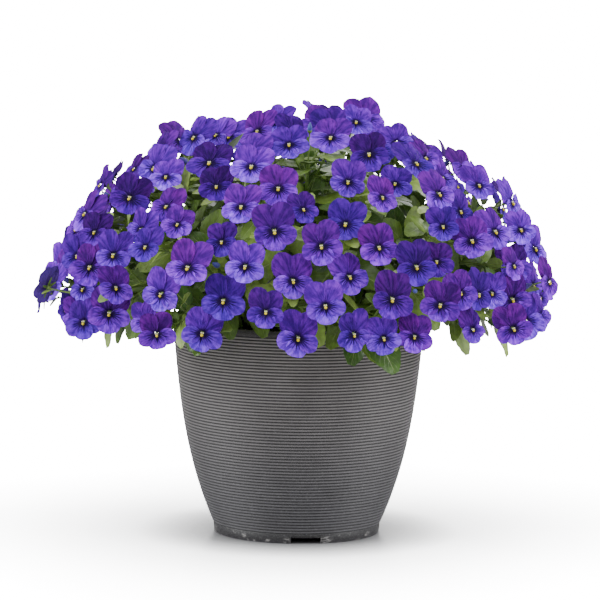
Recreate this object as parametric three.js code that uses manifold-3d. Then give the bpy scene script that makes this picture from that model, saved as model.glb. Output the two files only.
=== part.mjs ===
// A ribbed patio planter of violet pansies: a tapered plastic pot with a footed base, its
// potting mix, and leafy flowering stems that arch out of the mix into one round dome.
// Units are millimetres, +Z is up, and the origin is the middle of the pot's foot, on the ground.

import * as THREE from "three";
import { mergeVertices } from "three/addons/utils/BufferGeometryUtils.js";
import Module from "manifold-3d";

const wasm = await Module();
wasm.setup();

// Driving dimensions of the pot
const POT_HEIGHT = 220;
const RIM_RADIUS = 128;
const FOOT_RADIUS = 84;
const FOOT_HEIGHT = 10;
const WALL = 3.2;
const FLOOR_LEVEL = 7; // underside of the floor above the ground
const FLOOR_THICKNESS = 3.5;
const LIP_HEIGHT = 7;
const LIP_STANDS_OUT = 1.6;
const BELLY = 0.58; // share of the flare that follows the round belly, the rest is straight
const BELLY_POWER = 3.1;
const RIBS = 16; // each stands for four of the fine ribs
const RIB_DEPTH = 0.9;
const POT_SIDES = 28;
const STRADDLE = 1 / Math.sqrt(Math.cos(Math.PI / POT_SIDES)); // the flat sides straddle the round wall
const NOTCHES = 3;
const NOTCH_WIDTH = 30;
const NOTCH_HEIGHT = 6;
const NOTCH_TURN = THREE.MathUtils.degToRad(-83.5); // the first notch faces the front, a little right
const DRAIN_HOLES = 4;
const DRAIN_RADIUS = 6;
const DRAIN_CIRCLE = 48;

// Driving dimensions of the potting mix
const SOIL_LEVEL = 206;
const SOIL_GAP = 0.35;
const SOIL_MOUND = 3;

// Driving dimensions of the plants
const SPRAYS = 48;
const BLOOMS_EACH = 4;
const DOME_RADIUS = 250; // to the middle of the outermost blooms
const DOME_RISE = 185; // from the widest level to the middle of the topmost blooms
const DOME_DROP = 45;
const DOME_LEVEL = 236;
const LOWEST_COSINE = -0.2;
const BLOOM_MIN = 33; // bloom width across the side petals
const BLOOM_MAX = 48;
const SPACING = 0.98; // bloom spacing over mean bloom width
const CELL_SPREAD = 22; // a spray's blooms start this far from the middle of its cell
const RELAX_STEPS = 14;
const OFFSET_IN = -12; // how far a bloom may lie under the dome, and over it
const OFFSET_OUT = 6;
const FOCUS_BACK = 130; // blooms look away from a point this far behind the middle
const LOOK_UP_LOW = THREE.MathUtils.degToRad(4);
const LOOK_UP_TOP = THREE.MathUtils.degToRad(34);
const LOOK_JITTER = THREE.MathUtils.degToRad(24);
const TURNED_SHARE = 0.07; // blooms that look well aside
const TURNED_ANGLE = THREE.MathUtils.degToRad(75);
const ROLL_JITTER = THREE.MathUtils.degToRad(14);
const BRANCH_SHARE = 0.83; // branch point, as a share of the way from the dome's middle
const ROOT_SHARE = 0.44; // root radius over the radius of the spray's cell
const HOLE_DEPTH = 24;
const STEM_RADIUS = 1.9;
const STALK_RADIUS = 0.95;
const CLEAR = 0.7;
const LEAF_LENGTH = 50;
const LEAF_WIDTH = 28;
const LEAF_THICKNESS = 1.1;
const SEED = 18;

// Solids
const solidOf = (geometry) => {
  const bare = new THREE.BufferGeometry();
  bare.setAttribute("position", geometry.getAttribute("position").clone());
  if (geometry.index) bare.setIndex(geometry.index.clone());
  const merged = mergeVertices(bare, 1e-4);
  return new wasm.Manifold(
    new wasm.Mesh({
      numProp: 3,
      vertProperties: merged.getAttribute("position").array,
      triVerts: new Uint32Array(merged.index.array),
    }),
  );
};

const geometryOf = (solid) => {
  const mesh = solid.getMesh();
  const positions = new Float32Array(mesh.numVert * 3);
  for (let i = 0; i < mesh.numVert; i++)
    positions.set(mesh.vertProperties.subarray(i * mesh.numProp, i * mesh.numProp + 3), i * 3);
  const geometry = new THREE.BufferGeometry();
  geometry.setAttribute("position", new THREE.BufferAttribute(positions, 3));
  geometry.setIndex(new THREE.BufferAttribute(new Uint32Array(mesh.triVerts), 1));
  geometry.computeVertexNormals();
  return geometry;
};

const meshFrom = (points, faces) => {
  const geometry = new THREE.BufferGeometry();
  const numbers = points.flatMap((point) => point.toArray());
  geometry.setAttribute("position", new THREE.Float32BufferAttribute(numbers, 3));
  geometry.setIndex(faces.flat());
  return geometry;
};

// Seeded draws from 0 to 1
const drawsFrom = (seed) => {
  let state = seed >>> 0;
  return () => {
    state = (state + 0x6d2b79f5) >>> 0;
    let t = Math.imul(state ^ (state >>> 15), state | 1);
    t ^= t + Math.imul(t ^ (t >>> 7), t | 61);
    return ((t ^ (t >>> 14)) >>> 0) / 4294967296;
  };
};
const spread = (draw, low, high) => low + (high - low) * draw();

// The pot
const potRadius = (z) => {
  if (z < FOOT_HEIGHT) return FOOT_RADIUS + z / FOOT_HEIGHT;
  const u = (z - FOOT_HEIGHT) / (POT_HEIGHT - FOOT_HEIGHT);
  const flare = (1 - BELLY) * u + BELLY * (1 - Math.pow(1 - u, BELLY_POWER));
  return FOOT_RADIUS + 1 + (RIM_RADIUS - FOOT_RADIUS - 1) * flare;
};

const lathe = (profile, sides) => {
  const turned = new THREE.LatheGeometry(profile.map(([r, z]) => new THREE.Vector2(r, z)), sides);
  turned.rotateX(Math.PI / 2);
  return solidOf(turned);
};

const upright = (geometry) => geometry.rotateX(Math.PI / 2);

// The inside wall, from the floor up
const FLOOR_TOP = FLOOR_LEVEL + FLOOR_THICKNESS;
const INSIDE = [FLOOR_TOP, 40, 100].map((z) => [potRadius(z) - WALL, z]);
INSIDE.push([RIM_RADIUS - WALL, POT_HEIGHT]);

const makePot = () => {
  const ribsFrom = FOOT_HEIGHT;
  const ribsTo = POT_HEIGHT - LIP_HEIGHT;
  const pitch = (ribsTo - ribsFrom) / RIBS;
  const outside = [[FOOT_RADIUS, 0]];
  for (let i = 0; i < RIBS; i++) {
    const valley = ribsFrom + i * pitch;
    const crest = valley + pitch / 2;
    outside.push([potRadius(valley) - RIB_DEPTH / 2, valley]);
    outside.push([potRadius(crest) + RIB_DEPTH / 2, crest]);
  }
  outside.push([potRadius(ribsTo), ribsTo]);
  outside.push([RIM_RADIUS + LIP_STANDS_OUT / 2, ribsTo + 1]);
  outside.push([RIM_RADIUS + LIP_STANDS_OUT / 2, POT_HEIGHT - 1]);
  outside.push([RIM_RADIUS - 0.5, POT_HEIGHT]);
  const profile = [
    [0, FLOOR_LEVEL],
    [FOOT_RADIUS - WALL - 1, FLOOR_LEVEL],
    [FOOT_RADIUS - WALL, 0],
    ...outside.map(([r, z]) => [r * STRADDLE, z]),
    ...INSIDE.slice().reverse(),
    [0, FLOOR_TOP],
  ];
  let pot = lathe(profile, POT_SIDES);
  for (let i = 0; i < NOTCHES; i++) {
    const turn = NOTCH_TURN + (i * 2 * Math.PI) / NOTCHES;
    const notch = new THREE.BoxGeometry(30, NOTCH_WIDTH, 2 * NOTCH_HEIGHT);
    notch.translate(FOOT_RADIUS, 0, 0).rotateZ(turn);
    pot = pot.subtract(solidOf(notch));
  }
  for (let i = 0; i < DRAIN_HOLES; i++) {
    const turn = ((i + 0.5) * 2 * Math.PI) / DRAIN_HOLES;
    const drain = upright(new THREE.CylinderGeometry(DRAIN_RADIUS, DRAIN_RADIUS, 4 * FLOOR_THICKNESS, 8));
    drain.translate(DRAIN_CIRCLE * Math.cos(turn), DRAIN_CIRCLE * Math.sin(turn), FLOOR_LEVEL);
    pot = pot.subtract(solidOf(drain));
  }
  return pot;
};

// Flat pieces, for keeping neighbours clear: an oval with its middle, axes and half thickness
const RIM_SAMPLES = 12;
const ovalOf = (middle, across, along, a, b, half, spray) => {
  const normal = new THREE.Vector3().crossVectors(across, along).normalize();
  const rim = [];
  for (let i = 0; i < RIM_SAMPLES; i++) {
    const t = (i * 2 * Math.PI) / RIM_SAMPLES;
    rim.push(middle.clone().addScaledVector(across, a * Math.cos(t)).addScaledVector(along, b * Math.sin(t)));
  }
  return { middle, across, along, normal, a, b, half, rim, reach: Math.max(a, b) + half, spray };
};

const inOval = (oval, point, margin) => {
  const d = point.clone().sub(oval.middle);
  const x = d.dot(oval.across) / (oval.a + margin);
  const y = d.dot(oval.along) / (oval.b + margin);
  return x * x + y * y < 1;
};

// Whether a straight run of a given radius touches an oval
const runMeetsOval = ({ from, to, radius }, oval) => {
  const margin = radius + CLEAR;
  const h0 = from.clone().sub(oval.middle).dot(oval.normal);
  const h1 = to.clone().sub(oval.middle).dot(oval.normal);
  const thick = oval.half + margin;
  if ((h0 > thick && h1 > thick) || (h0 < -thick && h1 < -thick)) return false;
  for (const h of [-thick, 0, thick]) {
    const t = h1 === h0 ? -1 : (h - h0) / (h1 - h0);
    if (t >= 0 && t <= 1 && inOval(oval, from.clone().lerp(to, t), margin)) return true;
  }
  return (
    (Math.abs(h0) <= thick && inOval(oval, from, margin)) ||
    (Math.abs(h1) <= thick && inOval(oval, to, margin))
  );
};

const ovalsMeet = (one, two) => {
  if (one.middle.distanceTo(two.middle) > one.reach + two.reach + CLEAR) return false;
  for (const [p, q] of [[one, two], [two, one]]) {
    for (let i = 0; i < RIM_SAMPLES; i++) {
      const edge = { from: p.rim[i], to: p.rim[(i + 1) % RIM_SAMPLES], radius: p.half };
      const spoke = { from: p.middle, to: p.rim[i], radius: p.half };
      if (runMeetsOval(edge, q) || runMeetsOval(spoke, q)) return true;
    }
  }
  return false;
};

// Whether two straight runs touch, by their nearest points
const runsMeet = (one, two) => {
  const d1 = one.to.clone().sub(one.from);
  const d2 = two.to.clone().sub(two.from);
  const r = one.from.clone().sub(two.from);
  const a = d1.dot(d1);
  const e = d2.dot(d2);
  const b = d1.dot(d2);
  const c = d1.dot(r);
  const f = d2.dot(r);
  const denominator = a * e - b * b;
  let s = denominator > 1e-9 ? THREE.MathUtils.clamp((b * f - c * e) / denominator, 0, 1) : 0;
  const t = THREE.MathUtils.clamp((b * s + f) / e, 0, 1);
  s = THREE.MathUtils.clamp((b * t - c) / a, 0, 1);
  const apart = one.from.clone().addScaledVector(d1, s).distanceTo(two.from.clone().addScaledVector(d2, t));
  return apart < one.radius + two.radius + CLEAR;
};

// The dome that the blooms lie on, by a direction from its middle
const domeMiddle = new THREE.Vector3(0, 0, DOME_LEVEL);
const onDome = (cosine, turn) => {
  const sine = Math.sqrt(1 - cosine * cosine);
  const rise = cosine > 0 ? DOME_RISE : DOME_DROP;
  return new THREE.Vector3(
    DOME_RADIUS * sine * Math.cos(turn),
    DOME_RADIUS * sine * Math.sin(turn),
    DOME_LEVEL + rise * cosine,
  );
};
const backOntoDome = (point) => {
  const rise = point.z > DOME_LEVEL ? DOME_RISE : DOME_DROP;
  const x = point.x / DOME_RADIUS;
  const y = point.y / DOME_RADIUS;
  const z = (point.z - DOME_LEVEL) / rise;
  const cosine = THREE.MathUtils.clamp(z / Math.sqrt(x * x + y * y + z * z), LOWEST_COSINE, 1);
  return onDome(cosine, Math.atan2(y, x));
};

// Where the sprays and their blooms lie: cells on a golden spiral, then blooms pushed evenly apart
const GOLDEN = Math.PI * (3 - Math.sqrt(5));
const layBlooms = (draw) => {
  const blooms = [];
  for (let s = 0; s < SPRAYS; s++) {
    const cosine = 1 - ((s + 0.5) / SPRAYS) * (1 - LOWEST_COSINE);
    const cell = onDome(cosine, s * GOLDEN);
    const aside = new THREE.Vector3(-Math.sin(s * GOLDEN), Math.cos(s * GOLDEN), 0);
    const up = cell.clone().sub(domeMiddle).normalize().cross(aside).normalize();
    const turn = spread(draw, 0, Math.PI / 2);
    for (let k = 0; k < BLOOMS_EACH; k++) {
      const angle = turn + (k * 2 * Math.PI) / BLOOMS_EACH;
      const point = cell.clone().addScaledVector(aside, CELL_SPREAD * Math.cos(angle));
      point.addScaledVector(up, CELL_SPREAD * Math.sin(angle));
      const width = spread(draw, BLOOM_MIN, BLOOM_MAX);
      blooms.push({ spray: s, width, point: backOntoDome(point) });
    }
  }
  for (let step = 0; step < RELAX_STEPS; step++) {
    const moves = blooms.map(() => new THREE.Vector3());
    for (let i = 0; i < blooms.length; i++) {
      for (let j = i + 1; j < blooms.length; j++) {
        const apart = blooms[i].point.clone().sub(blooms[j].point);
        const want = (SPACING * (blooms[i].width + blooms[j].width)) / 2;
        const gap = apart.length();
        if (gap >= want || gap < 1e-6) continue;
        apart.multiplyScalar((0.25 * (want - gap)) / gap);
        moves[i].add(apart);
        moves[j].sub(apart);
      }
    }
    blooms.forEach((bloom, i) => {
      bloom.point = backOntoDome(bloom.point.clone().add(moves[i]));
    });
  }
  return blooms;
};

// How a bloom looks out: away from the focus, more upward near the top, with a seeded jitter
const aimBloom = (bloom, draw) => {
  const height = Math.max(0, (bloom.point.z - DOME_LEVEL) / DOME_RISE);
  let turn = Math.atan2(bloom.point.y - FOCUS_BACK, bloom.point.x) + spread(draw, -LOOK_JITTER, LOOK_JITTER);
  if (draw() < TURNED_SHARE) turn += draw() < 0.5 ? TURNED_ANGLE : -TURNED_ANGLE;
  const up = LOOK_UP_LOW + (LOOK_UP_TOP - LOOK_UP_LOW) * height + spread(draw, -0.4, 0.4) * LOOK_JITTER;
  const look = new THREE.Vector3(Math.cos(turn) * Math.cos(up), Math.sin(turn) * Math.cos(up), Math.sin(up));
  const roll = spread(draw, -ROLL_JITTER, ROLL_JITTER);
  const across = new THREE.Vector3(-Math.sin(turn), Math.cos(turn), 0).applyAxisAngle(look, roll);
  return { look, across, along: new THREE.Vector3().crossVectors(look, across) };
};

const DEPTHS = [0, 4, -4, 8, -8, 12, -12, 16, -16, -20, -24];
const BLOOM_HALF_THICKNESS = 2.6;
const BLOOM_LIFT = 0.08; // the oval's middle over the eye, in bloom widths
const ovalOfBloom = (bloom) =>
  ovalOf(
    bloom.eye.clone().addScaledVector(bloom.along, BLOOM_LIFT * bloom.width),
    bloom.across,
    bloom.along,
    0.5 * bloom.width,
    0.53 * bloom.width,
    BLOOM_HALF_THICKNESS,
    bloom.spray,
  );

const placeBlooms = (draw) => {
  const placed = [];
  for (const bloom of layBlooms(draw)) {
    Object.assign(bloom, aimBloom(bloom, draw));
    const outward = bloom.point.clone().sub(domeMiddle).normalize();
    const start = spread(draw, OFFSET_IN, OFFSET_OUT);
    for (const shrink of [1, 0.9, 0.8]) {
      for (const depth of DEPTHS) {
        const tried = { ...bloom, width: bloom.width * shrink };
        tried.eye = bloom.point.clone().addScaledVector(outward, start + depth);
        tried.oval = ovalOfBloom(tried);
        if (placed.some((other) => ovalsMeet(tried.oval, other.oval))) continue;
        placed.push(tried);
        bloom.done = true;
        break;
      }
      if (bloom.done) break;
    }
  }
  return placed;
};

// A stem of straight runs through given points, for sweeping a section along it
class BentStem extends THREE.Curve {
  constructor(points) {
    super();
    this.points = points;
  }
  getPoint(t) {
    const runs = this.points.length - 1;
    const run = Math.min(Math.floor(t * runs), runs - 1);
    return this.points[run].clone().lerp(this.points[run + 1], t * runs - run);
  }
  getPointAt(u) {
    return this.getPoint(u);
  }
}

// A spray's stem: straight up out of its hole, then over in an arch to the branch point
const ARCH_RUNS = 3;
const MOUTH_LEVEL = SOIL_LEVEL + SOIL_MOUND + 4;
const ARCH_PULL = 0.35;
const ARCH_OVER = 38; // how far the lowest stems arch up to clear the rim
const bendStem = (blooms) => {
  const middle = new THREE.Vector3();
  blooms.forEach((bloom) => middle.addScaledVector(bloom.eye, 1 / blooms.length));
  const outward = middle.clone().sub(domeMiddle).normalize();
  const branch = domeMiddle.clone().lerp(middle, BRANCH_SHARE);
  const root = middle.clone().multiplyScalar(ROOT_SHARE).setZ(SOIL_LEVEL - HOLE_DEPTH + SOIL_GAP);
  const mouth = root.clone().setZ(MOUTH_LEVEL);
  const pull = ARCH_PULL * mouth.distanceTo(branch);
  const low = 1 - THREE.MathUtils.clamp((branch.z - SOIL_LEVEL) / 150, 0, 1);
  const over = branch.clone().addScaledVector(outward, -pull);
  over.z += ARCH_OVER * low * low;
  const arch = new THREE.CubicBezierCurve3(mouth, mouth.clone().setZ(mouth.z + pull), over, branch);
  return { outward, points: [root, ...arch.getPoints(ARCH_RUNS)] };
};

// What is in place so far: flat pieces and straight runs
const meetsRunOf = (run, taken, skip) =>
  taken.runs.some((other) => other.spray !== skip && runsMeet(run, other));
const meetsOvalOf = (run, taken, skip) =>
  taken.ovals.some((oval) => oval.spray !== skip && runMeetsOval(run, oval));

// A bloom's stalk: straight from the stem's last run to the bloom's back
const SPUR = 5.5;
const STALK_FROM = [0.94, 0.78, 0.62, 0.46]; // shares along that run
const STALK_SHIFTS = [0, -0.08, 0.04, -0.16, -0.24, -0.32, -0.4];
const layStalk = (bloom, rank, points, taken) => {
  const to = bloom.eye.clone().addScaledVector(bloom.look, -SPUR);
  const choices = STALK_SHIFTS.map((shift) => {
    const from = points.at(-2).clone().lerp(points.at(-1), STALK_FROM[rank] + shift);
    return { from, to, radius: STALK_RADIUS, spray: bloom.spray };
  });
  const clear = choices.find(
    (run) => !meetsOvalOf(run, taken, bloom.spray) && !meetsRunOf(run, taken, bloom.spray),
  );
  return clear ?? choices[0];
};

// Leaves: each tries directions and sizes until it is clear of every neighbour
const LEAF_TURNS = 12;
const LEAF_OUTWARD = [0.45, 0.8, 0.15];
const LEAF_SIZES = [1.15, 1, 0.85, 0.7, 0.55];
const LEAF_HALF_THICKNESS = 2;
const PETIOLE = 0.18; // share of a leaf's length that is its stalk
const RIM_LEAF_BELOW = 240; // sprays that branch below this level hang a leaf over the rim
const RIM_LEAF_LEANS = [0.15, -0.25, 0.5, -0.6];
const ovalOfLeaf = (leaf) =>
  ovalOf(
    leaf.base.clone().addScaledVector(leaf.axis, 0.5 * (1 + PETIOLE) * leaf.length),
    leaf.across,
    leaf.axis,
    0.5 * leaf.width,
    0.5 * (1 - PETIOLE) * leaf.length,
    LEAF_HALF_THICKNESS,
    leaf.spray,
  );

const clearOfPot = (point) => {
  const out = Math.hypot(point.x, point.y);
  if (out > RIM_RADIUS + LIP_STANDS_OUT + 3 || point.z > POT_HEIGHT + 4) return true;
  return out < RIM_RADIUS - WALL - 4 && point.z > SOIL_LEVEL + SOIL_MOUND + 3;
};

const leafDirections = (spray, rank, draw) => {
  const { outward } = spray;
  const aside = new THREE.Vector3(-outward.y, outward.x, 0).normalize();
  const flat = new THREE.Vector3(aside.y, -aside.x, 0);
  const up = outward.clone().cross(aside).normalize();
  const directions = [];
  if (rank === 0 && spray.points.at(-1).z < RIM_LEAF_BELOW) {
    for (const lean of RIM_LEAF_LEANS)
      directions.push(flat.clone().multiplyScalar(0.5).addScaledVector(aside, lean).setZ(-0.85).normalize());
  }
  const first = spread(draw, 0, 2 * Math.PI);
  for (const mix of LEAF_OUTWARD) {
    for (let i = 0; i < LEAF_TURNS; i++) {
      const turn = first + (5 * i * 2 * Math.PI) / LEAF_TURNS;
      const axis = aside.clone().multiplyScalar(Math.cos(turn)).addScaledVector(up, Math.sin(turn));
      directions.push(axis.addScaledVector(outward, mix).normalize());
    }
  }
  return directions;
};

const leafIsClear = (leaf, oval, petiole, taken) =>
  oval.rim.every(clearOfPot) &&
  !taken.ovals.some((other) => ovalsMeet(oval, other)) &&
  !taken.runs.some((run) => run.radius < STEM_RADIUS && runMeetsOval(run, oval)) &&
  !taken.runs.some((run) => run.spray !== leaf.spray && runMeetsOval(run, oval)) &&
  !meetsOvalOf(petiole, taken, null) &&
  !meetsRunOf(petiole, taken, leaf.spray);

const LEAF_FROM = [[ARCH_RUNS, 0.3], [ARCH_RUNS, 0.72]]; // the stem's run, and the share along it
const placeLeaf = (spray, rank, taken, draw) => {
  const [run, share] = LEAF_FROM[rank];
  const base = spray.points[run].clone().lerp(spray.points[run + 1], share);
  const size = spread(draw, 0.9, 1.1);
  const directions = leafDirections(spray, rank, draw);
  for (const step of LEAF_SIZES) {
    const length = LEAF_LENGTH * size * step;
    const width = LEAF_WIDTH * size * step;
    for (const axis of directions) {
      const face = spray.outward.clone().addScaledVector(axis, -spray.outward.dot(axis)).normalize();
      const across = new THREE.Vector3().crossVectors(axis, face);
      const leaf = { base, axis, across, face, length, width, spray: spray.index };
      const oval = ovalOfLeaf(leaf);
      const to = base.clone().addScaledVector(axis, 0.3 * length);
      const petiole = { from: base, to, radius: 1.2, spray: spray.index };
      if (!leafIsClear(leaf, oval, petiole, taken)) continue;
      taken.ovals.push(oval);
      taken.runs.push(petiole);
      return leaf;
    }
  }
  return null;
};

const laySprays = (draw) => {
  const blooms = placeBlooms(draw);
  const taken = { ovals: blooms.map((bloom) => bloom.oval), runs: [] };
  const sprays = [];
  for (let index = 0; index < SPRAYS; index++) {
    const own = blooms.filter((bloom) => bloom.spray === index);
    const spray = { index, blooms: own, leaves: [], ...bendStem(own) };
    for (let i = 1; i < spray.points.length; i++)
      taken.runs.push({ from: spray.points[i - 1], to: spray.points[i], radius: STEM_RADIUS, spray: index });
    sprays.push(spray);
  }
  for (const { blooms: own, points } of sprays) {
    own.forEach((bloom, i) => {
      bloom.stalk = layStalk(bloom, i, points, taken);
      taken.runs.push(bloom.stalk);
    });
  }
  LEAF_FROM.forEach((_, rank) => {
    for (const spray of sprays) {
      const leaf = placeLeaf(spray, rank, taken, draw);
      if (leaf) spray.leaves.push(leaf);
    }
  });
  return sprays;
};

// A bloom and its stalk in one closed surface. Half of the outline, clockwise from the top of an
// upper petal, each point across, up and forward of the eye as shares of the bloom's width.
const HALF_BLOOM = [
  [0.2, 0.61, -0.05], // upper petal
  [0.45, 0.43, -0.08],
  [0.45, 0.14, -0.03],
  [0.48, -0.09, 0.02], // side petal
  [0.38, -0.29, 0.04],
  [0.21, -0.26, 0.0],
  [0.23, -0.42, 0.05], // lower petal
];
const OUTLINE = [...HALF_BLOOM, ...HALF_BLOOM.slice().reverse().map(([x, y, z]) => [-x, y, z])];
const STALK_SIDES = 3;

const makeBloom = ({ eye, look, across, along, width, stalk }) => {
  const at = (x, y, z) =>
    eye
      .clone()
      .addScaledVector(across, x * width)
      .addScaledVector(along, y * width)
      .addScaledVector(look, z * width);
  const points = [eye, ...OUTLINE.map(([x, y, z]) => at(x, y, z))];
  const faces = OUTLINE.map((_, i) => [0, 1 + ((i + 1) % OUTLINE.length), 1 + i]);

  // The stalk's two ends: across the bloom's back, and square to the stalk inside the stem
  const ahead = stalk.to.clone().sub(stalk.from).normalize();
  const bend = new THREE.Quaternion().setFromUnitVectors(look, ahead);
  const ends = [stalk.to, stalk.from].map((stop, i) => {
    for (let k = 0; k < STALK_SIDES; k++) {
      const turn = (k * 2 * Math.PI) / STALK_SIDES;
      const corner = across.clone().multiplyScalar(STALK_RADIUS * Math.sin(turn));
      corner.addScaledVector(along, STALK_RADIUS * Math.cos(turn));
      points.push(stop.clone().add(i ? corner.applyQuaternion(bend) : corner));
    }
    return points.length - STALK_SIDES;
  });

  // The back of each petal runs to the nearest corner of the first ring
  const corners = OUTLINE.map(([x, y]) => {
    const clockwise = (Math.atan2(x, y) + 2 * Math.PI) % (2 * Math.PI);
    return ends[0] + (Math.round((clockwise * STALK_SIDES) / (2 * Math.PI)) % STALK_SIDES);
  });
  OUTLINE.forEach((_, i) => {
    const next = (i + 1) % OUTLINE.length;
    faces.push([1 + i, 1 + next, corners[i]]);
    if (corners[next] !== corners[i]) faces.push([1 + next, corners[next], corners[i]]);
  });
  for (let k = 0; k < STALK_SIDES; k++) {
    const next = (k + 1) % STALK_SIDES;
    faces.push([ends[0] + k, ends[0] + next, ends[1] + next], [ends[0] + k, ends[1] + next, ends[1] + k]);
  }
  faces.push([ends[1], ends[1] + 1, ends[1] + 2]);
  return solidOf(meshFrom(points, faces));
};

// A leaf: a thin blade with a scalloped edge, thickest along its arched midrib.
// Each edge point is across and along, as shares of the half width and the length.
const LEAF_EDGE = [
  [0.1, 0],
  [0.1, PETIOLE],
  [0.9, 0.37],
  [0.76, 0.5],
  [0.84, 0.6],
  [0.5, 0.82],
];
const LEAF_ARCH = 0.05;
const makeLeaf = ({ base, axis, across, face, length, width }) => {
  const at = (x, y, z) =>
    base
      .clone()
      .addScaledVector(across, 0.5 * width * x)
      .addScaledVector(axis, length * y)
      .addScaledVector(face, z);
  const half = LEAF_THICKNESS / 2;
  const rise = (y) => LEAF_ARCH * length * Math.sin(Math.PI * y);
  const points = [at(0, 0, half), at(0, 0, -half)];
  points.push(at(0, 0.5, rise(0.5) + half), at(0, 0.5, rise(0.5) - half), at(0, 1, 0));
  const [topBase, lowBase, topRib, lowRib, tip] = points.keys();
  const faces = [];
  for (const side of [1, -1]) {
    const edge = LEAF_EDGE.map(([x, y]) => points.push(at(side * x, y, 0.4 * rise(y))) - 1);
    const margin = [...edge.slice(1), tip];
    for (const [base0, rib, down] of [[topBase, topRib, 1], [lowBase, lowRib, -1]]) {
      const add = (a, b, c) => faces.push(side * down > 0 ? [a, b, c] : [a, c, b]);
      add(base0, edge[0], edge[1]);
      add(base0, edge[1], rib);
      for (let i = 1; i < margin.length; i++) add(rib, margin[i - 1], margin[i]);
    }
    faces.push(side > 0 ? [topBase, lowBase, edge[0]] : [topBase, edge[0], lowBase]);
  }
  return solidOf(meshFrom(points, faces));
};

const STEM_SIDES = 3;
const makeStem = (points) => {
  const section = new THREE.Shape();
  for (let i = 0; i < STEM_SIDES; i++) {
    const turn = (i * 2 * Math.PI) / STEM_SIDES;
    section[i ? "lineTo" : "moveTo"](STEM_RADIUS * Math.cos(turn), STEM_RADIUS * Math.sin(turn));
  }
  const extrudePath = new BentStem(points);
  return solidOf(new THREE.ExtrudeGeometry(section, { steps: points.length - 1, extrudePath }));
};

const FUSE_TOLERANCE = 0.1;
const makeSpray = (spray) => {
  let solid = makeStem(spray.points);
  for (const bloom of spray.blooms) solid = solid.add(makeBloom(bloom));
  for (const leaf of spray.leaves) solid = solid.add(makeLeaf(leaf));
  return solid.asOriginal().simplify(FUSE_TOLERANCE);
};

// The potting mix: one solid that fills the pot, with a plain hole for each stem
const HOLE_RADIUS = 4.8;
const HOLE_SIDES = 3;
const makeSoil = (sprays) => {
  const [top, under] = [INSIDE.at(-1), INSIDE.at(-2)];
  const share = (SOIL_LEVEL - under[1]) / (top[1] - under[1]);
  const edge = [THREE.MathUtils.lerp(under[0], top[0], share), SOIL_LEVEL];
  const wall = [...INSIDE.slice(0, -1), edge].map(([r, z]) => [r - 1.5 * SOIL_GAP, z]);
  wall[0][1] += SOIL_GAP;
  const mound = [[60, SOIL_LEVEL + SOIL_MOUND], [0, SOIL_LEVEL + SOIL_MOUND]];
  let soil = lathe([[0, wall[0][1]], ...wall, ...mound], POT_SIDES);
  for (const { points: [root] } of sprays) {
    const hole = upright(new THREE.CylinderGeometry(HOLE_RADIUS, HOLE_RADIUS, 2 * HOLE_DEPTH, HOLE_SIDES));
    soil = soil.subtract(solidOf(hole.translate(root.x, root.y, SOIL_LEVEL)));
  }
  return soil;
};

const group = new THREE.Group();
const addPart = (name, solid, color, roughness) => {
  const material = new THREE.MeshStandardMaterial({ color, roughness, metalness: 0 });
  const mesh = new THREE.Mesh(geometryOf(solid), material);
  mesh.name = name;
  group.add(mesh);
};

const sprays = laySprays(drawsFrom(SEED));
addPart("pot", makePot(), 0x5a585b, 0.75);
addPart("potting_mix", makeSoil(sprays), 0x3a2a1e, 1);
sprays.forEach((spray, i) => {
  addPart(`spray_${String(i + 1).padStart(2, "0")}`, makeSpray(spray), 0x5b3fa8, 0.6);
});

export default group;
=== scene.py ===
# %% [markdown]
# # Potted pansy planter
#
# A grey ribbed planter filled with potting mix, and one round dome of violet pansies that arches
# over its rim. The solids give the plan: 48 leafy stems with four blooms each. This script repeats
# that plan and puts a finer plant in its place: ruffled petals with whiskers and a yellow eye,
# scalloped leaves with pale midribs, sepals, buds, and a pot with all of its fine ribs.
#
# Lengths are in millimetres until a mesh is made, where they become metres.

# %% Load the frame
import math

import bpy
import numpy as np
from mathutils import Matrix, Vector, noise


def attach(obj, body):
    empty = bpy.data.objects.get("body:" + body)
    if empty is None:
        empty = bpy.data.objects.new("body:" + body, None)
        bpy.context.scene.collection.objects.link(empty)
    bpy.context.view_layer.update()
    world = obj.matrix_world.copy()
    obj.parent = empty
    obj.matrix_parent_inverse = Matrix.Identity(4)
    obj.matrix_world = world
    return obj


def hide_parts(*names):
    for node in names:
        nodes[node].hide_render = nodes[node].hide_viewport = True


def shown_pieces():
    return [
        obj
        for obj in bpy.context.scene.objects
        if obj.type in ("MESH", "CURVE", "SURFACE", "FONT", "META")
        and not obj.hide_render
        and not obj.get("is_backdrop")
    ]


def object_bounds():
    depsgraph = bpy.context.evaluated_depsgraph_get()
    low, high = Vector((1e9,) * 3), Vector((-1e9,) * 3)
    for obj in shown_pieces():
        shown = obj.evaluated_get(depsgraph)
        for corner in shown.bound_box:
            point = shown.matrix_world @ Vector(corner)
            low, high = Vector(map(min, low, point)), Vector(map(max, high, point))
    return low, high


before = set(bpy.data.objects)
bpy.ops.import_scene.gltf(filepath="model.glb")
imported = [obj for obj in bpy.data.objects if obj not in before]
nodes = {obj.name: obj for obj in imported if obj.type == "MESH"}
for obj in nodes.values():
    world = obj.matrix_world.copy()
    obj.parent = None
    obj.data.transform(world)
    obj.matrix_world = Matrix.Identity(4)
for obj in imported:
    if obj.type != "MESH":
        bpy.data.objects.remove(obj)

MM = 0.001
cad_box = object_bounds()
box_in_mm = [[round(v / MM, 1) for v in corner] for corner in cad_box]
print("The frame has", len(nodes), "solids. Its box in mm:", box_in_mm)

# %% [markdown]
# ## The plan of the plant
#
# The same rule as in the solids, with the same seeded draws, so that every stem, bloom and large
# leaf lies where its solid is. Blooms and leaves are kept clear of each other as flat ovals, stems
# and stalks as straight runs.

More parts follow.
